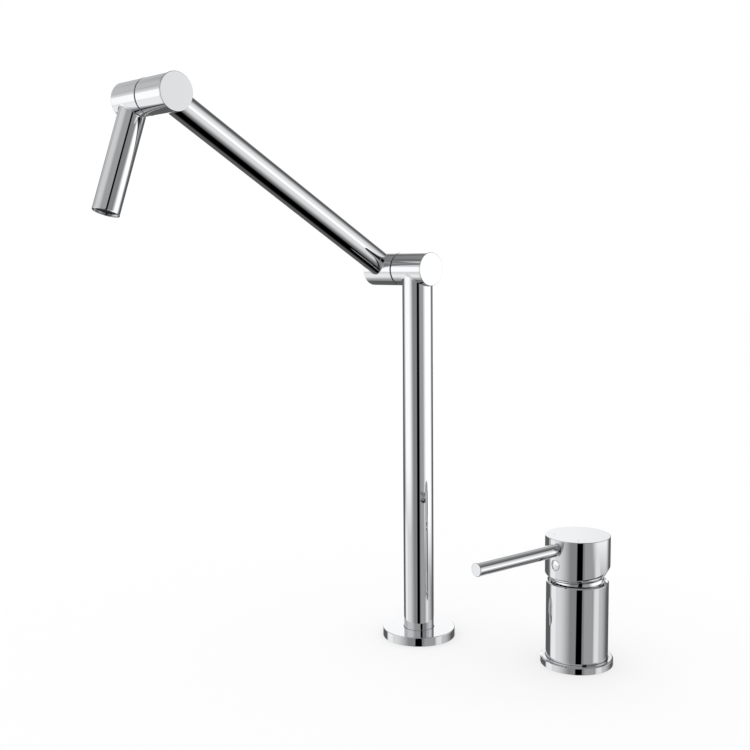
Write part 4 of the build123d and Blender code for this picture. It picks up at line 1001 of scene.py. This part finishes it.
# A smooth step from 0 to 1 between two values, or from 1 to 0 where it falls
def smoothStep(tree, source, start, end, falls=False):
    ends = {"To Min": 1.0, "To Max": 0.0} if falls else {"To Min": 0.0, "To Max": 1.0}
    step = addNode(
        tree, "ShaderNodeMapRange", {"Value": source, "From Min": start, "From Max": end, **ends},
        interpolation_type="SMOOTHSTEP",
    )
    return step.outputs[0]


# Brightness of a soft box in a direction: its level times a smooth step for each edge
def softBox(tree, azimuth, height, box):
    start, end = box["azimuth"]
    half = ((end - start) % 360 or 360) / 2
    away = mathOf(tree, "SUBTRACT", azimuth, start + half)
    away = mathOf(tree, "WRAP", away, 180.0, -180.0)
    (fadeStart, fadeEnd), (fadeLow, fadeHigh) = box["azimuthFade"], box["heightFade"]
    low, high = box["height"]
    level = box["level"]
    for step in (
        smoothStep(tree, away, -half - fadeStart, -half),
        smoothStep(tree, away, half, half + fadeEnd, True),
        smoothStep(tree, height, low - fadeLow, low), smoothStep(tree, height, high, high + fadeHigh, True),
    ):
        level = mathOf(tree, "MULTIPLY", level, step)
    return level


world = bpy.data.worlds.new("studio")
bpy.context.scene.world = world
world.use_nodes = True
tree = world.node_tree
tree.nodes.clear()
ray = addNode(tree, "ShaderNodeTexCoord").outputs["Generated"]
toCamera = addNode(
    tree, "ShaderNodeVectorMath", {0: ray, 1: tuple(-ahead)}, operation="DOT_PRODUCT",
).outputs["Value"]
toRight = addNode(
    tree, "ShaderNodeVectorMath", {0: ray, 1: tuple(right)}, operation="DOT_PRODUCT",
).outputs["Value"]
rise = addNode(tree, "ShaderNodeSeparateXYZ", {0: ray}).outputs["Z"]
around = mathOf(tree, "DEGREES", mathOf(tree, "ARCTAN2", toRight, toCamera))
rise = mathOf(tree, "DEGREES", mathOf(tree, "ARCSINE", rise))
room = 0.0
for box in softBoxes.values():
    room = mathOf(tree, "MAXIMUM", room, softBox(tree, around, rise, box))

above, below = mathOf(tree, "MAXIMUM", rise, 0.0), mathOf(tree, "MINIMUM", rise, 0.0)
middle = mathOf(tree, "MULTIPLY_ADD", rise, slot["lean"], slot["azimuth"])
middle = mathOf(tree, "MULTIPLY_ADD", above, slot["bend"], middle)
offset = mathOf(tree, "ABSOLUTE", mathOf(tree, "SUBTRACT", around, middle))
offset = mathOf(tree, "MULTIPLY_ADD", below, slot["widening"], offset)
dark = smoothStep(tree, offset, slot["half"] - slot["fade"], slot["half"], True)
for step in (
    smoothStep(tree, rise, slot["height"][0] - slot["heightFade"][0], slot["height"][0]),
    smoothStep(tree, rise, slot["height"][1], slot["height"][1] + slot["heightFade"][1], True),
):
    dark = mathOf(tree, "MULTIPLY", dark, step)
room = mathOf(tree, "MULTIPLY", room, mathOf(tree, "SUBTRACT", 1.0, dark))

# Only mirrored rays meet the soft boxes: the camera sees plain white, which lights the rest
path = addNode(tree, "ShaderNodeLightPath")
mirrored = mathOf(tree, "MAXIMUM", path.outputs["Is Glossy Ray"], path.outputs["Is Transmission Ray"])
shown = addNode(tree, "ShaderNodeMix", {0: mirrored, 2: 1.0, 3: room}).outputs[0]
background = addNode(tree, "ShaderNodeBackground", {"Color": (1.0, 1.0, 1.0, 1.0), "Strength": shown})
addNode(tree, "ShaderNodeOutputWorld", {"Surface": background.outputs[0]})
bpy.context.scene.view_settings.view_transform = "Standard"
print("studio made")
